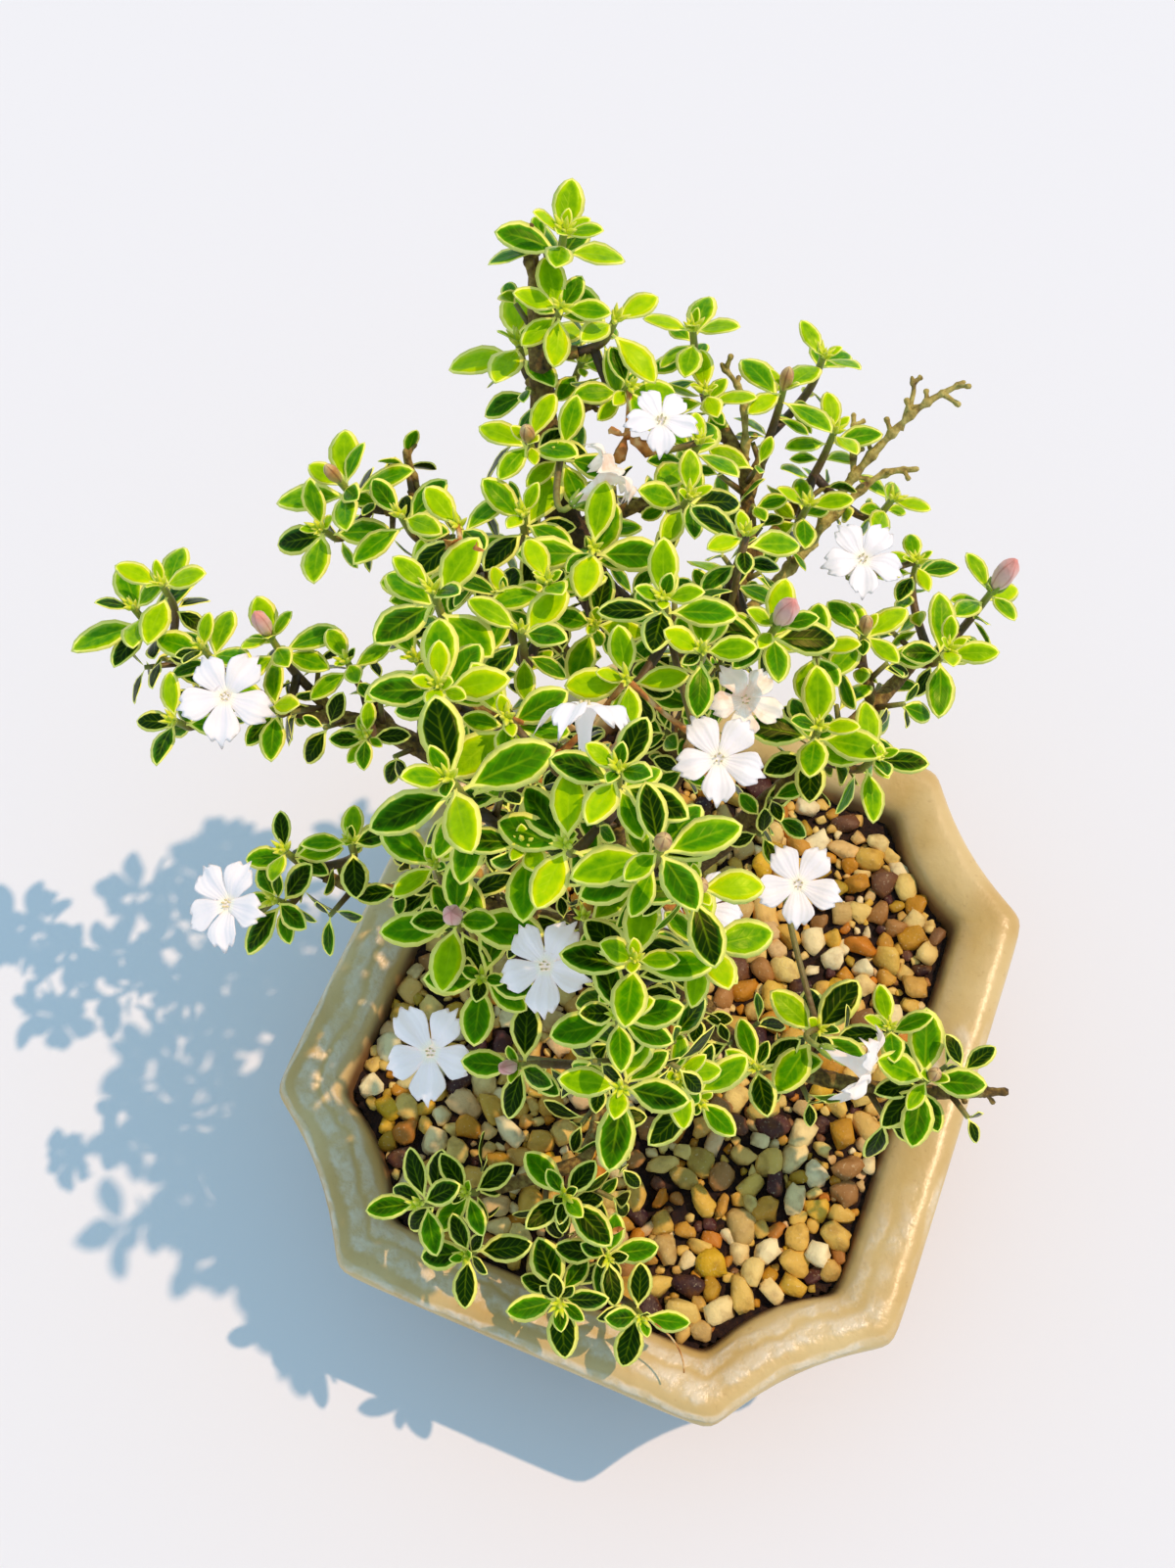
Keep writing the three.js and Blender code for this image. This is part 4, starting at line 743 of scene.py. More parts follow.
def makeGravel():
    draws = random.Random(7)
    bm = bmesh.new()
    kindLayer = layersOf(bm, "kind")["kind"]
    shape = bmesh.new()
    bmesh.ops.create_cube(shape, size=2)
    bmesh.ops.subdivide_edges(shape, edges=shape.edges[:], cuts=2, use_grid_fill=True)
    for vertex in shape.verts:
        vertex.co = vertex.co.normalized().lerp(vertex.co, 0.3)
    stone = meshFrom("stoneShape", shape)
    cell = 2 * bed["largest"]
    grid = {}
    placed = []

    def neighbours(x, y):
        column, row = int(x // cell), int(y // cell)
        for dx in (-1, 0, 1):
            for dy in (-1, 0, 1):
                yield from grid.get((column + dx, row + dy), ())

    for tries in range(bed["tries"]):
        if len(placed) >= bed["pebbles"]:
            break
        ease = min(tries / bed["coarseTries"], 1)
        radius = bed["largest"] - (bed["largest"] - bed["smallest"]) * ease ** 0.5 * draws.random() ** 0.35
        x, y = (draws.uniform(-reach, reach) for reach in bed["spread"])
        if not insideBed(x, y, radius * 0.75):
            continue
        if (Vector((x, y, 0)) - trunkFoot).length < bed["trunkClear"] + radius * 0.6:
            continue
        bare = noise.noise(Vector((x * 0.06, y * 0.06, 3.3)))
        if bare > bed["barePatch"] and draws.random() < bed["bareness"]:
            continue
        if any((x - ox) ** 2 + (y - oy) ** 2 < (bed["overlap"] * (radius + other)) ** 2
               for ox, oy, other in neighbours(x, y)):
            continue
        grid.setdefault((int(x // cell), int(y // cell)), []).append((x, y, radius))
        placed.append((x, y, radius))
    for x, y, radius in placed:
        start = len(bm.verts)
        bm.from_mesh(stone)
        bm.verts.ensure_lookup_table()
        kind = draws.random()
        cuts = [(Vector([draws.uniform(-1, 1) for _ in range(3)]).normalized(),
                 draws.uniform(*bed["facetDepths"])) for _ in range(bed["facets"])]
        turn = (Matrix.Rotation(draws.uniform(0, anyTurn), 3, "Z")
                @ Matrix.Rotation(draws.uniform(-bed["tilt"], bed["tilt"]), 3, "X"))
        sizes = Vector([radius * draws.uniform(*share) for share in bed["shares"]])
        sizes.z = min(sizes.z, bed["tallest"])
        height = min(bed["bottom"] + 0.5 + sizes.z * draws.uniform(*bed["lifts"]),
                     bed["top"] - sizes.z * 0.97)
        dents = Vector([draws.uniform(0, 50) for _ in range(3)])
        for vertex in bm.verts[start:]:
            for facing, depth in cuts:  # broken faces
                proud = vertex.co.dot(facing) - depth
                if proud > 0:
                    vertex.co -= facing * proud * bed["facetCut"]
            push = (1.08 + 0.34 * noise.noise(vertex.co * 1.1 + dents)
                    + 0.12 * noise.noise(vertex.co * 2.6 + dents))
            vertex.co = turn @ (vertex.co * sizes * push) + Vector((x, y, height))
            vertex[kindLayer] = kind
    bpy.data.meshes.remove(stone)
    newPiece("pebbles", bm, "gravel", [pebbleFinish])
    print("gravel:", len(placed), "pebbles")


limbs = {
    "trunk": {"route": [(-2, 4, 30), (-5, 8, 54), (-8, 15, 76), (-15, 25, 97), (-22, 27, 105), (-29, 33, 110),
                        (-35, 42, 114), (-38, 48, 122), (-41, 54, 131)], "radius": (4.6, 1)},
    "left": {"route": [(-7, 12, 66), (-20, 10, 71), (-34, 9, 76), (-46, 9, 80), (-58, 8, 79), (-69, 5, 79)],
             "radius": (2.2, 0.9)},
    "highLeft": {"route": [(-12, 21, 89), (-28, 23, 95), (-43, 29, 99), (-52, 34, 102)],
                 "radius": (1.7, 0.7)},
    "crownLeft": {"route": [(-6, 10, 62), (-11, 7, 84), (-20, 5, 101), (-25, 2, 113)], "radius": (2.3, 1)},
    "crownFront": {"route": [(-4, 6, 46), (-3, -2, 78), (-5, -7, 100), (-4, -11, 114)], "radius": (2.4, 1)},
    "crownBack": {"route": [(-8, 14, 72), (-5, 17, 92), (-6, 20, 110)], "radius": (1.9, 0.9)},
    "front": {"route": [(-3, 0, 68), (0, -12, 84), (3, -20, 94), (5, -25, 96)], "radius": (1.8, 0.8)},
    "right": {"route": [(-5, 9, 58), (5, 15, 78), (12, 24, 88), (17, 36, 88), (20, 46, 86)],
              "radius": (2.1, 0.8)},
    "back": {"route": [(-9, 17, 78), (-6, 32, 88), (-7, 46, 96), (-12, 56, 103)], "radius": (1.9, 0.8)},
    "lowLeft": {"route": [(-4, 6, 48), (-15, -3, 64), (-29, -9, 75), (-42, -14, 78)], "radius": (2, 0.8)},
    "lowRight": {"route": [(-3, 5, 41), (9, -5, 52), (22, -9, 59), (36, -8, 62), (51, -3, 65)],
                 "radius": (2, 0.8)},
    "hang": {"route": [(-3, 4, 38), (-2, -12, 50), (0, -27, 55), (-1, -37, 50)], "radius": (1.9, 0.8)},
}
limbCurves = {name: smoothRoute(limb["route"]) for name, limb in limbs.items()}

snags = [  # bare twigs, the first four and the last of them pale
    {"route": [(-6, 36, 90), (0, 50, 94), (3, 60, 100), (8, 68, 107), (13, 73, 110)], "radius": (1.3, 0.5)},
    {"route": [(1, 54, 95), (6, 62, 99), (11, 64, 101)], "radius": (0.9, 0.5)},
    {"route": [(7, 66, 105), (7, 70, 108), (6, 72, 109)], "radius": (0.6, 0.45)},
    {"route": [(3, 60, 100), (1, 65, 103), (0, 68, 103)], "radius": (0.6, 0.45)},
    {"route": [(-38, 48, 122), (-40, 51, 130), (-43, 54, 134)], "radius": (0.9, 0.7)},
    {"route": [(-33, 40, 113), (-30, 44, 118), (-27, 46, 118)], "radius": (0.9, 0.6)},
    {"route": [(-48, 31, 100), (-52, 36, 102), (-54, 38, 105)], "radius": (0.8, 0.6)},
    {"route": [(-11, 55, 102), (-14, 60, 109), (-18, 62, 112)], "radius": (0.7, 0.5)},
]

# Each shoot: the limb it stands on, how far along it, and its rosettes, each as the place of its heart, its
# longest leaf, its pairs of leaves and the turn of the first pair in degrees
shoots = {
    "far_left": ("left", 0.97, [(-85, 10, 88, 11, 3, 42), (-81, 13, 92, 9, 2, 99)]),
    "left_star": ("left", 0.86, [(-72, 7, 90, 8.5, 3, 97), (-72, -3, 86, 8, 2, 20)]),
    "left_bud": ("left", 0.72, [(-64, 12, 90, 8.5, 3, 52), (-59, 2, 82, 8, 2, 110)]),
    "left_inner": ("left", 0.58, [(-53, 13, 89, 6.5, 2, 50), (-46, 4, 88, 6, 2, 20)]),
    "high_left_tip": ("highLeft", 0.9, [(-60, 30, 105, 10, 3, 30), (-61, 25, 100, 9, 2, 22)]),
    "high_left_inner": ("highLeft", 0.62, [(-50, 28, 105, 8.5, 2, 66), (-44, 22, 101, 7.5, 2, 20)]),
    "crown_left_a": ("crownLeft", 0.9, [(-35, 9, 123, 10, 3, 164), (-35, 3, 117, 7.5, 2, 49)]),
    "crown_left_b": ("highLeft", 0.4, [(-38, 22, 117, 7.5, 2, 60), (-31, 26, 118, 8.5, 3, 75)]),
    "crown_left_c": ("crownLeft", 0.7, [(-24, 9, 121, 8, 2, 82), (-29, 15, 117, 7, 2, 100),
                                        (-24, 17, 120, 7, 2, 40)]),
    "crown_left_d": ("crownLeft", 0.97, [(-28, -4, 127, 9, 3, 112), (-20, -4, 125, 8.5, 3, 55)]),
    "crown_left_e": ("crownFront", 0.86, [(-21, -16, 132, 10.5, 3, 37), (-15, -14, 118, 8, 2, 100)]),
    "crown_left_f": ("trunk", 0.55, [(-21, 24, 119, 9.5, 2, 17), (-18, 17, 114, 7.5, 2, 95)]),
    "apex_tip": ("trunk", 0.96, [(-38, 53, 136, 8.5, 3, 18), (-36, 47, 130, 7, 2, 112)]),
    "apex_right": ("trunk", 0.86, [(-29, 51, 127, 8, 2, 160), (-25, 46, 122, 7, 2, 40)]),
    "apex_left": ("trunk", 0.8, [(-41, 48, 121, 10.5, 2, 31), (-33, 50, 119, 6, 2, 90)]),
    "shoulder_left": ("trunk", 0.7, [(-34, 38, 118, 8, 2, 177), (-28, 34, 115, 8, 2, 12)]),
    "shoulder_right": ("trunk", 0.6, [(-15, 45, 117, 8.5, 3, 82), (-13, 36, 118, 7.5, 2, 30)]),
    "back_left": ("back", 0.96, [(-22, 61, 118, 7.5, 2, 95), (-18, 56, 113, 6.5, 2, 30)]),
    "back_bud": ("back", 0.85, [(-9, 62, 111, 8, 2, 150), (-6, 70, 110, 7, 2, 60)]),
    "back_low": ("back", 0.6, [(-1, 61, 107, 7, 2, 40), (-1, 52, 102, 7, 2, 112), (9, 61, 97, 6.5, 2, 80)]),
    "crown_back": ("crownBack", 0.9, [(-4, 30, 123, 8, 2, 160), (3, 22, 119, 8.5, 3, 18)]),
    "crown_top": ("crownBack", 0.97, [(-9, 15, 128, 8.5, 3, 12), (-10, 7, 122, 7.5, 2, 30),
                                      (-3, 12, 125, 7, 2, 100)]),
    "right_low": ("right", 0.42, [(11, 21, 101, 9.5, 3, 16), (19, 22, 97, 8.5, 3, 110)]),
    "right_mid": ("right", 0.7, [(12, 37, 100, 7.5, 2, 60), (7, 30, 104, 7, 2, 100)]),
    "right_tip": ("right", 0.95, [(23, 42, 95, 8.5, 3, 109), (26, 55, 92, 7, 2, 50), (15, 54, 93, 7, 2, 20)]),
    "centre_a": ("crownFront", 0.95, [(-5, -9, 133, 8.5, 3, 175), (-8, -16, 126, 9.5, 2, 8)]),
    "centre_b": ("crownFront", 0.8, [(2, -15, 132, 9, 3, 41), (6, -14, 122, 8, 2, 120)]),
    "front_a": ("front", 0.75, [(2, -21, 114, 9, 3, 15), (-6, -16, 107, 6.5, 2, 70),
                                (8, -14, 108, 8.5, 2, 40)]),
    "front_b": ("front", 0.97, [(5, -32, 103, 9, 3, 106), (10, -22, 96, 7, 2, 30),
                                (2, -26, 109, 8.5, 3, 33)]),
    "front_low": ("front", 0.5, [(13, -25, 84, 8, 2, 60), (-10, -29, 82, 8, 2, 100)]),
    "low_left_tip": ("lowLeft", 0.95, [(-50, -14, 84, 7, 2, 20), (-49, -20, 81, 8, 2, 70),
                                       (-42, -10, 85, 7, 2, 120)]),
    "low_left_inner": ("lowLeft", 0.6, [(-21, -20, 101, 10, 3, 20), (-27, -13, 97, 8.5, 2, 160),
                                        (-16, -24, 96, 8.5, 3, 105)]),
    "low_right_inner": ("lowRight", 0.55, [(24, -6, 70, 9.5, 3, 75), (18, -13, 66, 8.5, 2, 30)]),
    "low_right_tip": ("lowRight", 0.8, [(40, -7, 71, 9.5, 3, 100), (33, -2, 70, 7, 2, 30)]),
    "hang_left": ("hang", 0.8, [(-18, -46, 60, 8, 2, 125), (-13, -42, 58, 7, 2, 60),
                                (-10, -49, 54, 8, 2, 30)]),
    "hang_right": ("hang", 0.97, [(4, -50, 52, 8.5, 3, 120), (8, -42, 53, 8, 2, 20),
                                  (15, -47, 49, 7.5, 2, 100), (-3, -38, 60, 8.5, 3, 150)]),
}

blooms = {  # the shoot each stands on, its throat, the way it faces and its breadth
    "flower_far_left": ("left_star", (-64, 0, 93), (0.1, -0.3, 1), 14),
    "flower_low_left": ("low_left_tip", (-53, -24, 85), (-0.3, -0.35, 1), 13.5),
    "flower_front_left": ("front_low", (-22, -30, 76), (-0.2, -0.4, 1), 14),
    "flower_front": ("front_a", (-9, -21, 100), (-0.2, -0.5, 1), 12.5),
    "flower_crown": ("crown_left_d", (-12, -1, 128), (-0.32, 0.8, 0.5), 12),
    "flower_centre": ("crown_top", (2, 6, 113), (0.2, -0.3, 1), 12),
    "flower_right": ("low_right_inner", (15, 7, 84), (0.2, -0.3, 1), 12.5),
    "flower_low_right": ("low_right_inner", (31.5, -11.5, 78), (1, -0.1, 0.05), 12),
    "flower_back_right": ("right_tip", (8.5, 45, 104), (0.2, -0.2, 1), 11.5),
    "flower_back": ("shoulder_right", (-19, 41, 124), (0.15, -0.1, 1), 9.5),
    "flower_shoulder": ("shoulder_left", (-22, 33.3, 122), (0.53, 0.78, 0.34), 10),
    "flower_mid": ("crown_back", (2, 15.5, 111), (0.4, -0.3, 1), 10),
    "flower_under": ("front_low", (5, -4, 92), (0.1, -0.3, 1), 12),
}

pinkBuds = {  # the shoot, which of its rosettes, and the bud's length
    "bud_left": ("left_bud", 0, 5),
    "bud_right": ("right_tip", 1, 6),
    "bud_crown": ("crown_back", 1, 5.5),
    "bud_front_left": ("low_left_inner", 0, 5),
    "bud_front": ("front_low", 1, 4),
}
tanBuds = {"high_left_tip": [0], "shoulder_left": [0], "back_bud": [0], "right_mid": [0], "centre_b": [0, 1],
           "low_right_tip": [0]}

# The rule by which the solids' rosettes and leaves are laid. A leaf or stem with no room was bent or moved
# there, and each is looked up among its node's corners.
gap = 0.3
rule = {"widthRatio": 0.5, "fold": 0.2, "stemRadius": 0.78, "tipRadius": 0.66, "greenLength": 9,
        "pairDrop": 1.7, "lengths": (1, 0.88, 0.6), "leans": (80, 64, 38), "jitters": (20, 16, 24),
        "cornerSlack": 0.03}
tally = {"lost stems": 0, "leaves": 0, "left out": 0, "added": 0}
bends = [  # degrees lifted, degrees swung, and the share of its length
    (0, 0, 1), (9, 0, 1), (-9, 0, 1), (0, 13, 1), (0, -13, 1), (18, 0, 1), (-16, 0, 1), (12, 20, 0.94),
    (12, -20, 0.94), (27, 0, 0.94), (-24, 0, 0.9), (0, 28, 0.9), (0, -28, 0.9), (24, 26, 0.86),
    (24, -26, 0.86), (0, 0, 0.72), (-18, 24, 0.78), (-18, -24, 0.78), (34, 14, 0.78), (34, -14, 0.78)]
nudges = [  # how far a rosette is moved
    (0, 0, 0), (0, 0, 1.5), (1.5, 0, 1), (-1.5, 0, 1), (0, 1.5, 1), (0, -1.5, 1), (0, 0, 3), (3, 0, 2),
    (-3, 0, 2), (0, 3, 2), (0, -3, 2), (2, 2, 4), (-2, 2, 4), (2, -2, 4), (-2, -2, 4), (4, 0, -2),
    (-4, 0, -2), (0, 4, -2), (0, -4, -2), (5, 0, 4), (-5, 0, 4), (0, 5, 4), (0, -5, 4), (0, 0, 6)]


def acrossFrame(axis):
    reference = (Vector((1, 0, 0)) - axis * axis.x).normalized()
    return reference, axis.cross(reference)


def rosetteOf(row, root, seed):
    x, y, z, longest, pairs, turn = row
    heart = Vector((x, y, z))
    away = (heart - root).normalized()
    axis = (away * 0.4 + up * 0.7 + front * 0.25).normalized()
    return {"heart": heart, "axis": axis, "longest": longest, "pairs": pairs, "turn": turn, "seed": seed}


def woodShare(span):
    return min(max(1 - rule["greenLength"] / span, 0.35), 0.72)


def stemTo(rosette, start, isMain):
    lowest = rosette["heart"] - rosette["axis"] * rule["pairDrop"] * rosette["pairs"]
    span = (lowest - start).length
    curve = bow(start, lowest, rosette["axis"], 0.45 if isMain else 0.4)
    return {**rosette, "curve": curve, "from": woodShare(span) + gap / span if isMain else 0.0, "span": span}


def stemStands(tree, line):
    reference, beside = acrossFrame(line["axis"])
    turn = math.radians(line["turn"] - 45)
    normal = reference * math.cos(turn) + beside * math.sin(turn)
    side = line["axis"].cross(normal)
    for level in (0, 1):
        centre = line["heart"] - line["axis"] * rule["pairDrop"] * level
        radius = rule["tipRadius"] + (rule["stemRadius"] - rule["tipRadius"]) * level / (line["pairs"] + 2)
        if any(stands(tree, centre + way * radius) for way in (normal, side, -normal, -side)):
            return True
    return False


def findLine(tree, row, root, seed, start, isMain):
    lines = [stemTo(rosetteOf((*(a + b for a, b in zip(row, nudge)), *row[3:]), root, seed), start, isMain)
             for nudge in nudges]
    found = next((line for line in lines if stemStands(tree, line)), None)
    tally["lost stems"] += found is None
    return found or lines[0]


def leafPoses(line):
    # each leaf of a rosette, with every pose that the rule would try for it
    draw = drawsFrom(line["seed"])
    reference, beside = acrossFrame(line["axis"])
    turnBy, leanBy, rollBy = rule["jitters"]
    for pair in range(line["pairs"]):
        for half in (0, 180):
            size = line["longest"] * rule["lengths"][pair] * (0.9 + 0.2 * draw())
            swing = line["turn"] + 90 * pair + half + turnBy * (draw() - 0.5)
            lean = rule["leans"][pair] + leanBy * (draw() - 0.5)
            roll = rollBy * (draw() - 0.5)
            base = line["heart"] - line["axis"] * rule["pairDrop"] * (line["pairs"] - pair - 0.5)
            foot = (base, line["axis"], reference, beside)
            yield pair, [poseOf(*foot, swing + swingBy, lean - lift, roll, size * scale)
                         for lift, swingBy, scale in bends]


def poseOf(base, axis, reference, beside, swing, lean, roll, length):
    around = math.radians(swing)
    tilt = math.radians(lean)
    tip = math.radians(roll)
    outward = reference * math.cos(around) + beside * math.sin(around)
    along = outward * math.sin(tilt) + axis * math.cos(tilt)
    normal = axis * math.sin(tilt) - outward * math.cos(tilt)
    across = normal.cross(along)
    rolled = normal * math.cos(tip) + across * math.sin(tip)
    return {"base": base, "along": along, "normal": rolled, "across": rolled.cross(along), "length": length}


leafForm = {"rows": 8, "columns": 4, "thickness": 0.16, "start": 0.05, "petiole": 0.12, "petioleWidth": 0.1,
            "backness": 1.12, "footFullness": 0.86, "tipFullness": 0.26, "arch": 0.1, "sag": 0.22,
            "wave": 0.02, "widths": (0.9, 1.1), "curls": (-0.05, 0.1)}


def leafCorner(share, sideways, side):
    # corners crowd towards the foot, the tip and the edge
    form = leafForm
    along = form["start"] + 0.95 * (share - 0.45 * math.sin(math.tau * share) / math.tau)
    stretch = min(max((along - form["petiole"]) / (1 - form["petiole"]), 0), 1) ** form["backness"]
    fullness = form["footFullness"] - form["tipFullness"] * along
    half = max(math.sin(math.pi * stretch) ** fullness, form["petioleWidth"] * (share < 0.5))
    inward = math.copysign(abs(sideways) ** 1.25, sideways)
    place = (along, inward * half, side * (1 - abs(sideways)) * min(half * 2, 1))
    return place, (along, inward * half, (1 - abs(inward)) * half)


def archOf(u):
    # how a blade rises and sags on its way out, as a share of its length
    return leafForm["arch"] * u - leafForm["sag"] * u * u


def spineAt(pose, u):
    return pose["base"] + pose["along"] * pose["length"] * u + pose["normal"] * pose["length"] * archOf(u)


def growLeaf(bm, toneLayer, pose, tone, draws):
    start = len(bm.verts)
    bm.from_mesh(leafShape)
    bm.verts.ensure_lookup_table()
    length = pose["length"]
    half = length * rule["widthRatio"] / 2 * draws.uniform(*leafForm["widths"])
    phase = draws.uniform(0, anyTurn)
    curl = draws.uniform(*leafForm["curls"])
    for vertex in bm.verts[start:]:
        u, v, lift = vertex.co
        arch = length * (archOf(u) - curl * u ** 3 * 0.4)
        ripple = length * leafForm["wave"] * math.sin(9 * u + phase + (2 if v > 0 else 0)) * abs(v)
        cup = rule["fold"] * half * abs(v) * 1.25 - 0.12 * half * v * v
        vertex.co = (pose["base"] + pose["along"] * length * u + pose["across"] * half * v
                     + pose["normal"] * (arch + cup + ripple + lift * leafForm["thickness"]))
        vertex[toneLayer] = tone
    tally["leaves"] += 1


class Crowd:
    # remembers where leaves lie, so that an added one keeps clear of them
    def __init__(self, cell=3.0):
        self.cell = cell
        self.grid = {}

    def key(self, point):
        return tuple(int(value // self.cell) for value in point)

    def spine(self, pose):
        return [spineAt(pose, u) for u in (0.35, 0.55, 0.75, 0.97)]

    def add(self, pose):
        for point in self.spine(pose):
            self.grid.setdefault(self.key(point), []).append(point)

    def isFree(self, pose, clearance):
        for point in self.spine(pose)[1:]:
            home = self.key(point)
            for step in product((-1, 0, 1), repeat=3):
                near = self.grid.get(tuple(index + by for index, by in zip(home, step)), ())
                if any((other - point).length < clearance for other in near):
                    return False
        return True


crowd = Crowd()


toneLook = {"age": 0.3, "low": 0.42, "deep": 0.5, "deepChance": 0.28, "shadeDeepChance": 0.26,
            "spread": (-0.22, 0.2), "shadeFrom": 100, "shadeOver": 80, "frontShadeOver": 110, "backOver": 250}


def toneFor(pair, pairs, place, draws):
    # young leaves near a heart are lime and the lowest pair darker with age; leaves low down and at the front
    # are darkened as painted shade and are more often deep green, those at the back less often; otherwise
    # deep green falls at random
    look = toneLook
    age = (pairs - pair) / 3
    # painted shade: how far a leaf stands low down and towards the front, which darkens it
    low = min(max((look["shadeFrom"] - place.z) / look["shadeOver"] - place.y / look["frontShadeOver"], 0), 1)
    chance = look["deepChance"] + look["shadeDeepChance"] * low - max(place.y, 0) / look["backOver"]
    deep = look["deep"] * (draws.random() < chance)
    return min(max(look["age"] * age + look["low"] * low + deep + draws.uniform(*look["spread"]), 0), 1)


def layOutShoot(name):
    # a shoot's stems and leaves as they lie in its solid
    limb, along, rows = shoots[name]
    seed = 100 * (list(shoots).index(name) + 1)
    tree = cornersOf(name)
    root = limbCurves[limb](along)
    main = findLine(tree, rows[0], root, seed, root, True)
    fork = main["curve"](main["from"] + (1 - main["from"]) * 0.4)
    sides = [findLine(tree, row, root, seed + index, fork, False) for index, row in enumerate(rows[1:], 1)]
    lines = [main, *sides]
    for line in lines:
        line["leaves"] = []
        for pair, poses in leafPoses(line):
            pose = next((pose for pose in poses if stands(tree, spineAt(pose, 1))), None)
            tally["left out"] += pose is None
            if pose:
                line["leaves"].append((pair, pose))
                crowd.add(pose)
    return {"name": name, "root": root, "fork": fork, "lines": lines, "tree": tree}


stemForm = {"rings": 8, "sides": 8, "radius": 0.68, "taper": 0.2, "oldest": 1.05, "ageing": 0.95}


def growShoot(layout):
    form = stemForm
    draws = random.Random(layout["name"])
    bm = bmesh.new()
    layers = layersOf(bm, "along", "across", "edge", "tone", "age")
    for line in layout["lines"]:
        collar = (line["heart"] - line["curve"](1)).length / line["span"]
        stops = evenStops(line["from"], 1, form["rings"])
        stops += [1 + collar * share for share in (0.3, 0.6, 0.9, 1)]
        last = len(stops) - 1
        radii = [form["radius"] - form["taper"] * index / last for index in range(last + 1)]
        ages = [max(form["oldest"] - form["ageing"] * index / last, 0) for index in range(last + 1)]
        growTube(bm, line["curve"], stops, radii, form["sides"], {layers["age"]: ages})
    growStalks(bm, layers, layout)
    bm.faces.ensure_lookup_table()
    for face in bm.faces:
        face.material_index = 1
    bmesh.ops.recalc_face_normals(bm, faces=bm.faces)
    growTanBuds(bm, layers, layout)
    for index, line in enumerate(layout["lines"]):
        if not isBudded(layout, index):
            growStipules(bm, layers, line["heart"], line["axis"], draws)
    for line in layout["lines"]:
        pairs = line["pairs"]
        for pair, pose in line["leaves"]:
            growLeaf(bm, layers["tone"], pose, toneFor(pair, pairs, pose["base"], draws), draws)
        for pose, tone in addedLeaves(line, draws):
            growLeaf(bm, layers["tone"], pose, tone, draws)
    newPiece("shoot_" + layout["name"], bm, layout["name"],
             [leafFinish, stemFinish, tanFinish, stipuleFinish])


addedForm = {  # a small pair in the heart, leaves among the lowest and middle pairs, and some on the stem
    "tries": 5, "lengths": (0.85, 1.1), "jitters": (22, 12, 15),
    "heart": {"chance": 0.5, "lean": 34, "length": 0.42, "room": 0.7},
    "low": {"chance": 0.3, "lean": 86, "lengths": (0.6, 0.9), "room": 1.7},
    "middle": {"chance": 0.14, "lean": 60, "lengths": (0.45, 0.7), "room": 1.4},
    # painted shade: the stem's shade is how much lower its leaves are toned, to darken them
    "stem": {"places": ((0.72, 92), (0.3, 84)), "lengths": (0.55, 0.95), "room": 1.8, "shade": 28},
}


def addedLeaves(line, draws):
    # leaves between and below those of a rosette, each where there is room for it
    heart, axis, longest, pairs, turn = (line[key] for key in ("heart", "axis", "longest", "pairs", "turn"))
    inner, low, middle, stem = (addedForm[kind] for kind in ("heart", "low", "middle", "stem"))
    swingBy, leanBy, rollBy = addedForm["jitters"]
    kept = []

    def offer(base, facing, swing, lean, length, tone, room):
        sides = acrossFrame(facing)
        for _ in range(addedForm["tries"]):
            pose = poseOf(base, facing, *sides, swing + draws.uniform(-swingBy, swingBy),
                          lean + draws.uniform(-leanBy, leanBy), draws.uniform(-rollBy, rollBy),
                          length * draws.uniform(*addedForm["lengths"]))
            if crowd.isFree(pose, room):
                crowd.add(pose)
                kept.append((pose, tone))
                tally["added"] += 1
                return

    if draws.random() < inner["chance"]:
        for half in (0, 180):
            offer(heart - axis * 0.6, axis, turn + 90 * pairs + half, inner["lean"],
                  longest * inner["length"], toneFor(pairs, pairs, heart, draws), inner["room"])
    for half in (45, 135, 225, 315):
        if draws.random() < low["chance"]:
            offer(heart - axis * (pairs - 0.4) * rule["pairDrop"], axis, turn + half, low["lean"],
                  longest * draws.uniform(*low["lengths"]), toneFor(-1, pairs, heart, draws), low["room"])
        if draws.random() < middle["chance"]:
            offer(heart - axis * (pairs * 0.4) * rule["pairDrop"], axis, turn + half, middle["lean"],
                  longest * draws.uniform(*middle["lengths"]), toneFor(1, pairs, heart, draws),
                  middle["room"])
    # painted shade: the leaves on a stem are toned as if they stood lower by the stem's shade, darker than
    # the rosette's
    green = 1 - line["from"]
    for share, lean in stem["places"]:
        along = line["from"] + green * share
        base = line["curve"](along)
        facing = tangentOf(line["curve"], along)
        for half in (0, 180):
            offer(base, facing, draws.uniform(0, 180) + half, lean,
                  longest * draws.uniform(*stem["lengths"]),
                  toneFor(-1, pairs, heart - up * stem["shade"], draws), stem["room"])
    return kept


def isBudded(layout, index):
    # whether a rosette ends in a bud
    pink = any(on == layout["name"] and heartIndex == index for on, heartIndex, _ in pinkBuds.values())
    return pink or index in tanBuds.get(layout["name"], [])


stipuleForm = {"count": 7, "length": (1.8, 2.8), "lean": (0.35, 0.9), "sides": 5}
stipuleProfile = [(0, 0.12), (0.4, 0.17), (0.75, 0.1), (1, 0.02)]


def growStipules(bm, layers, heart, axis, draws):
    # the tuft of short pale points in a rosette's heart
    side, beside = flowerFrame(axis)
    for index in range(stipuleForm["count"]):
        angle = math.tau * (index + draws.uniform(-0.3, 0.3)) / stipuleForm["count"]
        lean = draws.uniform(*stipuleForm["lean"]) if index else 0.1
        way = (axis + (side * math.cos(angle) + beside * math.sin(angle)) * lean).normalized()
        growBud(bm, layers, heart - axis * 0.4, way, draws.uniform(*stipuleForm["length"]), stipuleProfile,
                stipuleForm["sides"], 3)


sprigForm = {"steps": 8, "denseSteps": 18, "denseLimbs": ("right", "back", "crownBack"), "shootSteps": 3,
             "ways": 2, "reach": (2.5, 6.5), "blade": (4.5, 7.5), "leans": (78, 52), "clearance": 2.2,
             "margin": 1.5, "lowest": 50, "shade": 46}


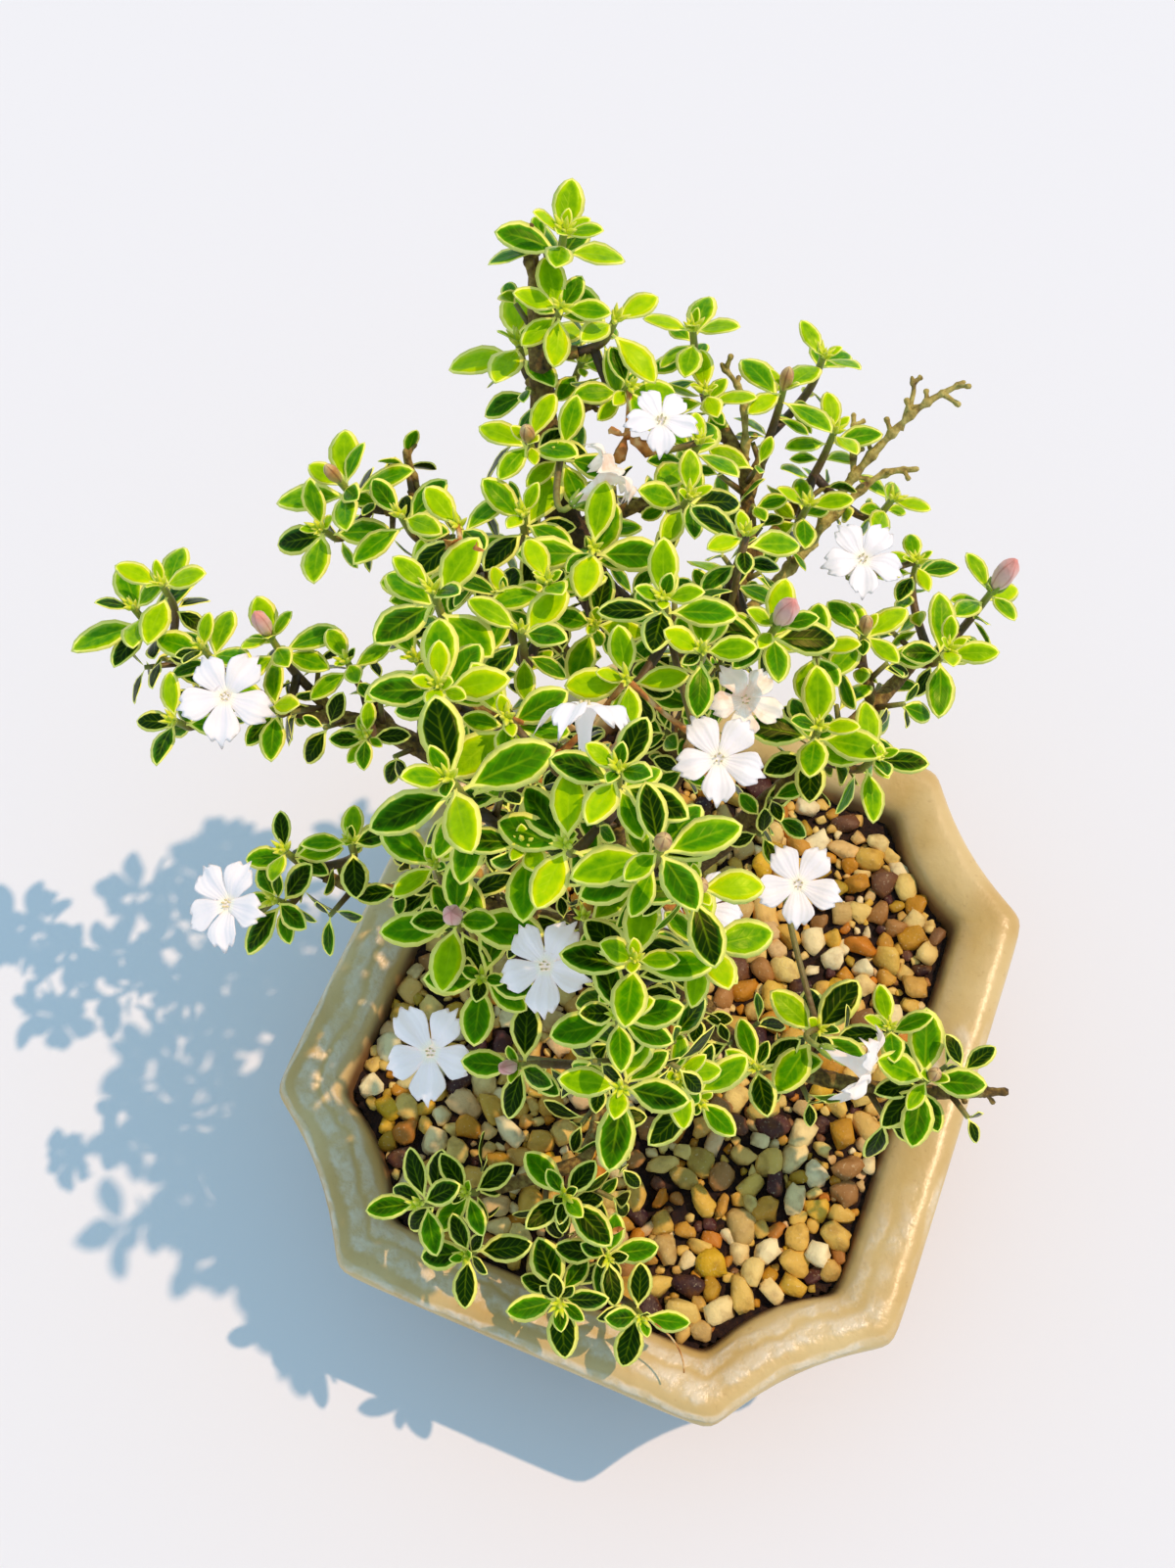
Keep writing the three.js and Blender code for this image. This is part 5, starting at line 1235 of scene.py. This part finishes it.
def sprigPoses(heart, facing, draws, low, high):
    # two crossed pairs of leaves, less those with no room
    sides = acrossFrame(facing)
    turn = draws.uniform(0, 90)
    margin = sprigForm["margin"]
    kept = []
    for pair, lean in enumerate(sprigForm["leans"]):
        for half in (0, 180):
            length = draws.uniform(*sprigForm["blade"]) * (1 - 0.25 * pair)
            pose = poseOf(heart - facing * (1.2 - pair), facing, *sides, turn + 90 * pair + half,
                          lean + draws.uniform(-10, 10), draws.uniform(-15, 15), length)
            tip = pose["base"] + pose["along"] * length
            inside = all(low[i] + margin < tip[i] < high[i] - margin for i in range(3))
            if inside and crowd.isFree(pose, sprigForm["clearance"]):
                kept.append(pose)
    return kept


def makeSprigs(layouts):
    # short leafy spurs on the limbs and on the foot of each shoot, which fill the inside of the bush, their
    # leaves darkened as painted shade
    draws = random.Random(29)
    low, high = (rowToPot @ Vector(corner) for corner in cadBox)
    roots = []
    for name, curve in limbCurves.items():
        steps = sprigForm["denseSteps" if name in sprigForm["denseLimbs"] else "steps"]
        roots += [(curve, stop) for stop in evenStops(0.25, 0.97, steps)]
    for layout in layouts:
        main = layout["lines"][0]
        roots += [(main["curve"], stop) for stop in evenStops(0.15, main["from"], sprigForm["shootSteps"])]
    spurs = []
    for curve, stop in roots:
        base = curve(stop)
        if base.z < sprigForm["lowest"]:
            continue
        tangent = tangentOf(curve, stop)
        reference, beside = acrossFrame(tangent)
        for way in range(sprigForm["ways"]):
            angle = math.tau * (way + draws.random()) / sprigForm["ways"]
            outward = reference * math.cos(angle) + beside * math.sin(angle)
            facing = (outward * 0.8 + up * 0.55 + front * 0.25 + tangent * 0.3).normalized()
            heart = base + facing * draws.uniform(*sprigForm["reach"])
            poses = sprigPoses(heart, facing, draws, low, high)
            if len(poses) > 1:
                spurs.append((base, heart, poses))
                for pose in poses:
                    crowd.add(pose)
    bm = bmesh.new()
    layers = layersOf(bm, "along", "across", "edge", "tone", "age")
    for base, heart, _ in spurs:
        growTube(bm, lambda t: base + (heart - base) * t, (0, 0.5, 1), (0.5, 0.42, 0.36), 6,
                 {layers["age"]: (0.9, 0.6, 0.3)})
    for face in bm.faces:
        face.material_index = 1
    bmesh.ops.recalc_face_normals(bm, faces=bm.faces)
    for base, heart, poses in spurs:
        for pose in poses:
            # painted shade: the inner sprigs are toned as if they stood lower by the sprigs' shade, darker
            # inside the bush
            tone = toneFor(-1, 3, heart - up * sprigForm["shade"], draws)
            growLeaf(bm, layers["tone"], pose, tone, draws)
    newPiece("inner_sprigs", bm, None, [leafFinish, stemFinish])
    print("sprigs:", len(spurs))


stalkForm = {"steps": 7, "sides": 7, "radius": 0.46, "taper": 0.01, "age": 0.6, "ageing": 0.06,
             "stiffness": 0.4}


def growStalks(bm, layers, layout):
    # a flower's stalk starts at the heart or fork from which it runs in the shoot's solid
    form = stalkForm
    for on, throat, facing, _ in blooms.values():
        if on != layout["name"]:
            continue
        axis = Vector(facing).normalized()
        end = Vector(throat) - axis * (corolla["tube"] + gap)
        budded = [index for shoot, index, _ in pinkBuds.values() if shoot == on]
        starts = [line["heart"] for index, line in enumerate(layout["lines"]) if index not in budded]
        starts = sorted([layout["fork"], *starts], key=lambda start: (start - end).length)
        curves = [bow(start, end, axis, form["stiffness"]) for start in starts]
        curve = next((curve for curve in curves if stalkStands(layout["tree"], curve)), curves[0])
        rings = range(form["steps"] + 1)
        growTube(bm, curve, evenStops(0, 1, form["steps"]),
                 [form["radius"] - form["taper"] * index for index in rings], form["sides"],
                 {layers["age"]: [form["age"] - form["ageing"] * index for index in rings]})


def stalkStands(tree, pointAt):
    # the stalk's bent middle ring, looked up among the shoot's corners
    normal = None
    for along in (0, 0.5):
        normal = squareTo(tangentOf(pointAt, along), normal)
    return stands(tree, pointAt(0.5) + normal * rule["tipRadius"] * 0.9)


def growBud(bm, layers, base, axis, length, profile, sides, faceIndex, seams=1):
    # a closed spindle along its axis, with a profile in shares of its length
    rings = growTube(bm, lambda t: base + axis * length * t, [share for share, _ in profile],
                     [radius * length for _, radius in profile], sides,
                     {layers["along"]: [share for share, _ in profile]})
    fresh = list({face for ring in rings for vertex in ring for face in vertex.link_faces})
    for face in fresh:
        face.material_index = faceIndex
    bmesh.ops.recalc_face_normals(bm, faces=fresh)
    if seams > 1:
        for ring in rings:
            for index, vertex in enumerate(ring):
                vertex[layers["across"]] = float(index % seams == 0)


budProfile = [(0, 0.1), (0.1, 0.17), (0.28, 0.25), (0.45, 0.295), (0.62, 0.3), (0.76, 0.265), (0.86, 0.2),
              (0.95, 0.11), (1, 0.04)]


budForm = {"tanLength": 4.2, "tanWidth": 0.74, "pinkLength": 1.1, "pinkWidth": 0.72, "sink": 0.5,
           "lobes": 5, "lobeDepth": 0.014, "lobeTwist": 0.25}


def growTanBuds(bm, layers, layout):
    profile = [(share, radius * budForm["tanWidth"]) for share, radius in budProfile]
    for index in tanBuds.get(layout["name"], []):
        heart, axis = (layout["lines"][index][key] for key in ("heart", "axis"))
        growBud(bm, layers, heart - axis * budForm["sink"], axis, budForm["tanLength"], profile, 12, 2, 3)


corolla = {"tube": 6.5, "sides": 15, "petals": 5, "thickness": 0.14, "mouth": (0.55, 0.4),
           "throat": (0.4, 0.2), "lengths": (0.94, 1.04), "droop": 0.15, "twist": 0.12}
corollaProfile = [(0, 0.55), (0.2, 0.62), (0.4, 0.7), (0.6, 0.8), (0.75, 1.0), (0.88, 1.35), (0.96, 1.55),
                  (1.02, 1.75)]
petalForm = {"rows": 8, "columns": 16, "foot": 0.115, "swell": 0.235, "widest": 0.68, "fullness": 1.4,
             "taper": 1.4, "taperFrom": 0.74, "tooth": 0.065, "toothWidth": 0.76, "roundness": 0.24}
stamenForm = {"length": 1.2, "ring": 0.42, "depth": 0.55}
stamenProfile = [(0, 0.06), (0.5, 0.07), (0.6, 0.12), (0.85, 0.12), (1, 0.05)]
sepalForm = {"length": 2.2, "pinkLength": 0.42}
sepalProfile = [(0, 0.1), (0.3, 0.17), (0.7, 0.1), (1, 0.02)]
pinkSepalProfile = [(0, 0.1), (0.3, 0.17), (0.7, 0.11), (1, 0.02)]


def petalCorner(share, sideways, side):
    form = petalForm
    teeth = form["tooth"] * math.cos(math.tau * abs(sideways) / form["toothWidth"])
    teeth -= form["roundness"] * sideways ** 2
    reach = 0.1 + share * (0.86 + teeth * share ** 3)
    swell = form["swell"] * math.sin(math.pi / 2 * min(share / form["widest"], 1)) ** form["fullness"]
    half = form["foot"] + swell - form["taper"] * max(share - form["taperFrom"], 0) ** 2
    place = (reach, sideways * half, side * (1 - max(abs(sideways), 2 * share - 1) ** 4))
    return place, (reach, sideways)


def flowerFrame(axis):
    side = Vector((0.3, 1, 0.1))
    side = (side - axis * side.dot(axis)).normalized()
    return side, axis.cross(side)


# how far a flower's petals hang back, and how faded they are: 0 fresh, 1 and 2 past their best
bloomLook = {"flower_crown": (0.42, 0), "flower_low_right": (0.34, 1), "flower_shoulder": (0.3, 2),
             "flower_mid": (0.1, 2), "flower_back_right": (-0.06, 0), "flower_under": (0.2, 0)}


def makeFlower(name):
    _, throat, facing, breadth = blooms[name]
    hang, faded = bloomLook.get(name, (0.0, 0))
    draws = random.Random(name)
    axis = Vector(facing).normalized()
    centre = Vector(throat)
    side, beside = flowerFrame(axis)
    bm = bmesh.new()
    layers = layersOf(bm, "along", "across", "age")
    base = centre - axis * corolla["tube"]
    count = corolla["petals"]

    def wayOut(index):
        angle = math.tau * index / count
        return side * math.cos(angle) + beside * math.sin(angle)

    growTube(bm, lambda t: base + axis * corolla["tube"] * t, *zip(*corollaProfile), corolla["sides"],
             {layers["along"]: 0.3, layers["across"]: 0.5})
    top = max(bm.faces, key=lambda face: (face.calc_center_median() - base).dot(axis))
    for inset, depth in (corolla["mouth"], corolla["throat"]):
        bmesh.ops.inset_region(bm, faces=[top], thickness=inset, depth=0)
        bmesh.ops.translate(bm, verts=top.verts[:], vec=-axis * depth)
    bmesh.ops.recalc_face_normals(bm, faces=bm.faces)
    for petal in range(count):
        out = wayOut(petal)
        across = axis.cross(out)
        length = breadth / 2 * draws.uniform(*corolla["lengths"])
        start = len(bm.verts)
        bm.from_mesh(petalShape)
        bm.verts.ensure_lookup_table()
        phase = draws.uniform(0, anyTurn)
        droop = draws.uniform(-corolla["droop"], corolla["droop"]) + hang
        twist = draws.uniform(-corolla["twist"], corolla["twist"])
        for vertex in bm.verts[start:]:
            u, v, lift = vertex.co
            rise = length * (0.16 * math.sin(2.6 * u) - 0.08 - droop * u * u + twist * v)
            waves = math.sin(12 * v + phase) * u + 0.7 * math.sin(9 * u + phase)
            crinkle = length * (0.05 + 0.03 * faded) * waves
            fold = 0.6 * abs(v) * (1 - u * 0.4) - 0.35 * math.exp(-(v / 0.07) ** 2) * u
            vertex.co = (centre + out * length * u + across * length * v
                         + axis * (rise + crinkle + fold + 0.1 + lift * corolla["thickness"]))
    for index in range(count):
        foot = centre + wayOut(index + 0.5) * stamenForm["ring"] - axis * stamenForm["depth"]
        growBud(bm, layers, foot, (axis * 2 + (foot - centre) * 0.3).normalized(), stamenForm["length"],
                stamenProfile, 6, 1)
    for index in range(count):
        way = wayOut(index)
        growBud(bm, layers, base + way * 0.3 - axis * 0.2, (axis + way * 0.35).normalized(),
                sepalForm["length"], sepalProfile, 6, 2)
    newPiece("bloom_" + name[len("flower_"):], bm, name,
             [petalFinishes[faded], stamenFinish, stemFinish])


def makePinkBud(name, layouts):
    on, index, length = pinkBuds[name]
    line = next(layout for layout in layouts if layout["name"] == on)["lines"][index]
    base = line["heart"] + line["axis"] * gap
    bm = bmesh.new()
    layers = layersOf(bm, "along", "across", "age")
    axis = line["axis"]
    profile = [(share, radius * budForm["pinkWidth"]) for share, radius in budProfile]
    growBud(bm, layers, base, axis, length * budForm["pinkLength"], profile, 20, 0, 4)
    side, beside = flowerFrame(axis)
    for vertex in bm.verts:  # five furled petals show as soft lobes
        offset = vertex.co - base
        height = offset.dot(axis)
        flat = offset - axis * height
        if flat.length > 1e-6:
            angle = math.atan2(flat.dot(beside), flat.dot(side)) + height * budForm["lobeTwist"]
            lobe = length * budForm["lobeDepth"] * math.cos(budForm["lobes"] * angle)
            vertex.co += flat.normalized() * lobe
    for quarter in range(4):
        angle = math.pi / 2 * quarter + 0.4
        way = side * math.cos(angle) + beside * math.sin(angle)
        growBud(bm, layers, base + way * length * 0.12 - axis * 0.25, (axis + way * 0.3).normalized(),
                length * sepalForm["pinkLength"], pinkSepalProfile, 6, 1)
    newPiece(name + "_petals", bm, name, [budFinish, stemFinish])


driedBits = [  # where each hangs, its length and how many shrivelled parts it has
    ((-23, 40, 120), 4.5, 3), ((-17.5, 0.5, 117), 4, 3), ((-15, 0, 113.5), 3.5, 3), ((-2.5, 8, 113), 4, 3),
    ((2.7, -39.3, 57), 6, 2), ((4.6, -10, 101), 4.5, 2), ((-35.2, 17, 121), 4.5, 2)]
hair = {"ends": ((17, -47, 48.5), (23, -51, 44)), "facing": (0.3, -0.8, -0.5), "radius": 0.13}
driedForm = {"radii": [0.4, 0.34, 0.32, 0.32, 0.34, 0.42, 0.5], "crumple": 0.13, "seed": 5,
             "swings": (-30, 30), "leans": (20, 60), "rolls": (-40, 40), "lengths": (0.8, 1.1)}


def makeDriedBits(layouts):
    # spent flowers and leaf ends left on the shoots, each on the stalk that it withered on
    draws = random.Random(driedForm["seed"])
    noise.seed_set(driedForm["seed"])  # without a seed, noise_vector starts from the clock
    bm = bmesh.new()
    layers = layersOf(bm, "along", "across", "edge", "tone")
    hearts = [line["heart"] for layout in layouts for line in layout["lines"]]
    for place, length, parts in driedBits:
        end = Vector(place)
        heart = min(hearts, key=lambda point: (point - end).length)
        axis = ((end - heart).normalized() + up * 0.3).normalized()
        growTube(bm, bow(heart, end, axis, 0.3), evenStops(0, 1.02, 6), driedForm["radii"], 6)
        bmesh.ops.recalc_face_normals(bm, faces=bm.faces)
        for part in range(parts):
            swing = 360 * part / parts + draws.uniform(*driedForm["swings"])
            pose = poseOf(end - axis * 0.3, axis, *acrossFrame(axis), swing,
                          draws.uniform(*driedForm["leans"]), draws.uniform(*driedForm["rolls"]),
                          length * draws.uniform(*driedForm["lengths"]))
            start = len(bm.verts)
            growLeaf(bm, layers["tone"], pose, 1, draws)
            bm.verts.ensure_lookup_table()
            for vertex in bm.verts[start:]:
                vertex.co += noise.noise_vector(vertex.co * 0.9) * length * driedForm["crumple"]
    first, last = (Vector(point) for point in hair["ends"])
    growTube(bm, bow(first, last, Vector(hair["facing"]), 0.5), evenStops(0, 1, 10), [hair["radius"]] * 11, 5)
    newPiece("dried_bits", bm, None, [spentFinish])


woodLook = {"voxel": 0.36, "barkDepth": 0.16, "knots": 0.1, "limbSteps": 40, "limbSides": 14,
            "footSides": 18, "twigSides": 9, "roots": 7, "rootReach": (8, 11), "rootRadius": (1.9, 0.8),
            "rootSteps": 14, "rootSides": 10}
footProfile = [  # height and radius of the trunk's foot
    (15, 2.6), (24, 3.6), (30.4, 4.8), (31.6, 5.9), (33.6, 6.2), (36, 5.5), (39, 4.9), (44, 4.2)]


def footAt(t):
    place = t * (len(footProfile) - 1)
    part = min(max(math.floor(place), 0), len(footProfile) - 2)
    start, end = footProfile[part][0], footProfile[part + 1][0]
    height = start + (end - start) * (place - part)
    return trunkFoot + Vector((-0.13, 0.13, 0)) * max(height - 31, 0) + up * height


def makeTrunk(draws):
    # the limbs, the foot and the roots as tubes, fused and then given their bark
    bm = bmesh.new()
    girths = []

    def limbTube(pointAt, steps, startRadius, endRadius, sides):
        stops = evenStops(0, 1, steps)
        radii = [startRadius + (endRadius - startRadius) * stop for stop in stops]
        knots = [radius * (1 + woodLook["knots"] * noise.noise(pointAt(stop) * 0.16))
                 for radius, stop in zip(radii, stops)]
        knots[-2] *= 0.8
        knots[-1] *= 0.45
        growTube(bm, pointAt, stops, knots, sides)
        girths.extend((pointAt(stop), radius) for stop, radius in zip(stops, radii))

    for name, limb in limbs.items():
        limbTube(limbCurves[name], woodLook["limbSteps"], *limb["radius"], woodLook["limbSides"])
    growTube(bm, footAt, evenStops(0, 1, len(footProfile) - 1), [radius for _, radius in footProfile],
             woodLook["footSides"])
    girths.extend((trunkFoot + up * height, radius) for height, radius in footProfile)
    for index in range(woodLook["roots"]):  # they run out from the foot and dive into the gravel
        angle = math.tau * (index + draws.uniform(-0.25, 0.25)) / woodLook["roots"]
        way = Vector((math.cos(angle), math.sin(angle), 0))
        reach = draws.uniform(*woodLook["rootReach"])
        route = [trunkFoot + way * 2 + up * 40, trunkFoot + way * 5 + up * 35.4,
                 trunkFoot + way * reach * 0.85 + up * 33.6, trunkFoot + way * (reach + 1.5) + up * 31.6]
        limbTube(smoothRoute(route), woodLook["rootSteps"], *woodLook["rootRadius"],
                 woodLook["rootSides"])
    bmesh.ops.recalc_face_normals(bm, faces=bm.faces)
    wood = newPiece("bark_wood", bm, "trunk", [barkFinish])
    fuse = wood.modifiers.new("fuse", "REMESH")
    fuse.mode = "VOXEL"
    fuse.voxel_size = woodLook["voxel"] * mm
    fuse.use_smooth_shade = True
    keepShape(wood)
    tree = treeOf([centre for centre, _ in girths])
    bm = bmesh.new()
    bm.from_mesh(wood.data)
    bmesh.ops.smooth_vert(bm, verts=bm.verts, factor=0.5, use_axis_x=True, use_axis_y=True, use_axis_z=True)
    bmesh.ops.transform(bm, matrix=rowToPot, verts=bm.verts)
    girth = layersOf(bm, "girth")["girth"]
    bm.normal_update()
    for vertex in bm.verts:
        radius = girths[tree.find(vertex.co)[1]][1]
        vertex[girth] = radius
        stretched = Vector((vertex.co.x, vertex.co.y, vertex.co.z * 0.4))
        rough = noise.noise(stretched * 1.1) + 0.5 * noise.noise(vertex.co * 2.4)
        vertex.co += vertex.normal * rough * woodLook["barkDepth"] * min(radius / 2, 1.4)
    bmesh.ops.transform(bm, matrix=potToRow, verts=bm.verts)
    bm.to_mesh(wood.data)
    bm.free()
    wood.data.materials.clear()
    wood.data.materials.append(barkFinish)
    print("wood:", len(wood.data.polygons), "faces")


snagForm = {"spacing": 3.6, "ring": 0.45, "slimness": 0.66, "knobWidth": 0.6, "knob": 0.38,
            "stub": (0.9, 2.3)}
stubProfile = [(0, 0.5), (0.3, 0.36), (0.6, 0.3), (0.8, 0.42), (0.94, 0.38), (1, 0.16)]


def growSnag(bm, layers, route, startRadius, endRadius, draws, faceIndex):
    # a bare twig with a swelling and a short side stub at each of its old leaf joints
    pointAt = smoothRoute(route)
    length = sum((Vector(after) - Vector(before)).length for before, after in zip(route, route[1:]))
    spacing = snagForm["spacing"]
    stops = evenStops(0, 1, max(int(length / snagForm["ring"]), 10))
    radii = []
    for stop in stops:
        offset = (stop * length) % spacing - spacing * 0.6
        knob = snagForm["knob"] * math.exp(-(offset / snagForm["knobWidth"]) ** 2)
        radius = startRadius + (endRadius - startRadius) * stop
        radii.append(radius * (snagForm["slimness"] + knob + 0.2 * noise.noise(pointAt(stop) * 0.9)))
    radii[-1] *= 0.5
    rings = growTube(bm, pointAt, stops, radii, woodLook["twigSides"], {layers["girth"]: radii})
    for joint in range(int(length / spacing)):
        stop = (joint + 0.6) * spacing / length
        centre = pointAt(stop)
        tangent = tangentOf(pointAt, stop)
        reference, beside = acrossFrame(tangent)
        angle = draws.uniform(0, anyTurn)
        way = (tangent * 0.5 + reference * math.cos(angle) + beside * math.sin(angle)).normalized()
        reach = draws.uniform(*snagForm["stub"]) + startRadius * 0.5
        shares, girths = zip(*stubProfile)
        rings += growTube(bm, lambda t: centre + way * reach * t, shares, girths, 6,
                          {layers["girth"]: girths})
    for ring in rings:
        for vertex in ring:
            for face in vertex.link_faces:
                face.material_index = faceIndex


twigForm = {"rings": 9, "radius": (1.1, 0.85), "knots": 0.22}


def makeTwigs(layouts, draws):
    # the bare twigs, the snag at the end of the low right limb, and the woody foot of each shoot
    bm = bmesh.new()
    layers = layersOf(bm, "girth")
    for index, snag in enumerate(snags):
        growSnag(bm, layers, snag["route"], *snag["radius"], draws, int(index < 4 or index == 7))
    growSnag(bm, layers, limbs["lowRight"]["route"][-2:], 0.9, 0.9, draws, 0)
    thick, thin = twigForm["radius"]
    for layout in layouts:
        main = layout["lines"][0]
        end = main["from"] + 0.01
        stops = evenStops(0, end, twigForm["rings"])
        radii = [(thick + (thin - thick) * stop / end)
                 * (1 + twigForm["knots"] * noise.noise(main["curve"](stop) * 0.8)) for stop in stops]
        growTube(bm, main["curve"], stops, radii, woodLook["twigSides"], {layers["girth"]: radii})
    bmesh.ops.recalc_face_normals(bm, faces=bm.faces)
    newPiece("twigs", bm, "trunk", [barkFinish, twigFinish])


view = {
    "place": (19.34, -77.66, 280), "right": (0.927, 0.375, 0), "up": (-0.3375, 0.834, 0.435),
    "forward": (-0.163, 0.403, -0.900), "lens": 36.85, "sensor": 36, "nearest": 0.01,
}


def makeCamera():
    camera = newObject("camera", bpy.data.cameras.new("camera"))
    camera.data.lens = view["lens"]
    camera.data.sensor_width = view["sensor"]
    camera.data.clip_start = view["nearest"]
    axes = Matrix((view["right"], view["up"], -Vector(view["forward"]))).transposed().to_4x4()
    camera.matrix_world = Matrix.Translation(potToRow @ Vector(view["place"])) @ axes
    bpy.context.scene.camera = camera


studio = {
    "sky": (0.415, 0.63, 0.805), "key": 2.38, "keyColour": (1, 0.705, 0.49), "keyFrom": (0.36, 0.3, 0.88),
    "keySpread": 0.8, "floor": (234, 232, 234), "floorSize": 3000,
}


def makeStudio():
    bm = bmesh.new()
    bmesh.ops.create_grid(bm, x_segments=1, y_segments=1, size=studio["floorSize"])
    bmesh.ops.transform(bm, matrix=potToRow, verts=bm.verts)
    floor = newObject("floor", meshFrom("floor", bm))
    paper = Finish("paleFloor", Roughness=0.8, Base_Color=(*linear(*studio["floor"]), 1))
    floor.data.materials.append(paper.material)
    floor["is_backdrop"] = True
    world = bpy.data.worlds.new("studio")
    world.use_nodes = True
    background = world.node_tree.nodes["Background"]
    background.inputs["Color"].default_value = (*studio["sky"], 1)
    bpy.context.scene.world = world
    lamp = bpy.data.lights.new("key", "SUN")
    lamp.energy = studio["key"]
    lamp.color = studio["keyColour"]
    lamp.angle = math.radians(studio["keySpread"])
    holder = newObject("key", lamp)
    holder.matrix_world = Vector(studio["keyFrom"]).to_track_quat("Z", "Y").to_matrix().to_4x4()
    bpy.context.scene.view_settings.view_transform = "Standard"


leafFinish = makeLeafFinish()
stemFinish = makeStemFinish()
barkFinish = makeBarkFinish()
twigFinish = makeTwigFinish()
petalFinishes = [makePetalFinish(name, faded) for name, faded in
                 zip(("whitePetal", "creamPetal", "fadedPetal"), petalLook["fadings"])]
budFinish, tanFinish, stamenFinish, stipuleFinish = (
    makeBudFinish(name, *budLook[name]) for name in ("pinkBud", "tanBud", "stamens", "stipules"))
glazeFinish = makeGlazeFinish()
pebbleFinish = makePebbleFinish()
soilFinish = makeSoilFinish()
screenFinish = makeScreenFinish()
spentFinish = makeSpentFinish()
leafShape = makeBlade("leafShape", leafForm, ("along", "across", "edge", "tone"), leafCorner)
petalShape = makeBlade("petalShape", petalForm, ("along", "across"), petalCorner)
print("finishes ready")

makeCamera()
makeStudio()
makePot()
makeFeet()
makeScreens()
makeSoil()
makeGravel()
layouts = [layOutShoot(name) for name in shoots]
for layout in layouts:
    growShoot(layout)
makeSprigs(layouts)
print("shoots:", tally)
for name in blooms:
    makeFlower(name)
for name in pinkBuds:
    makePinkBud(name, layouts)
makeDriedBits(layouts)
woodDraws = random.Random(11)
makeTrunk(woodDraws)
makeTwigs(layouts, woodDraws)
bpy.data.meshes.remove(leafShape)
bpy.data.meshes.remove(petalShape)

faceCount = sum(len(piece.data.polygons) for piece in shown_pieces())
print("faces in all:", faceCount)
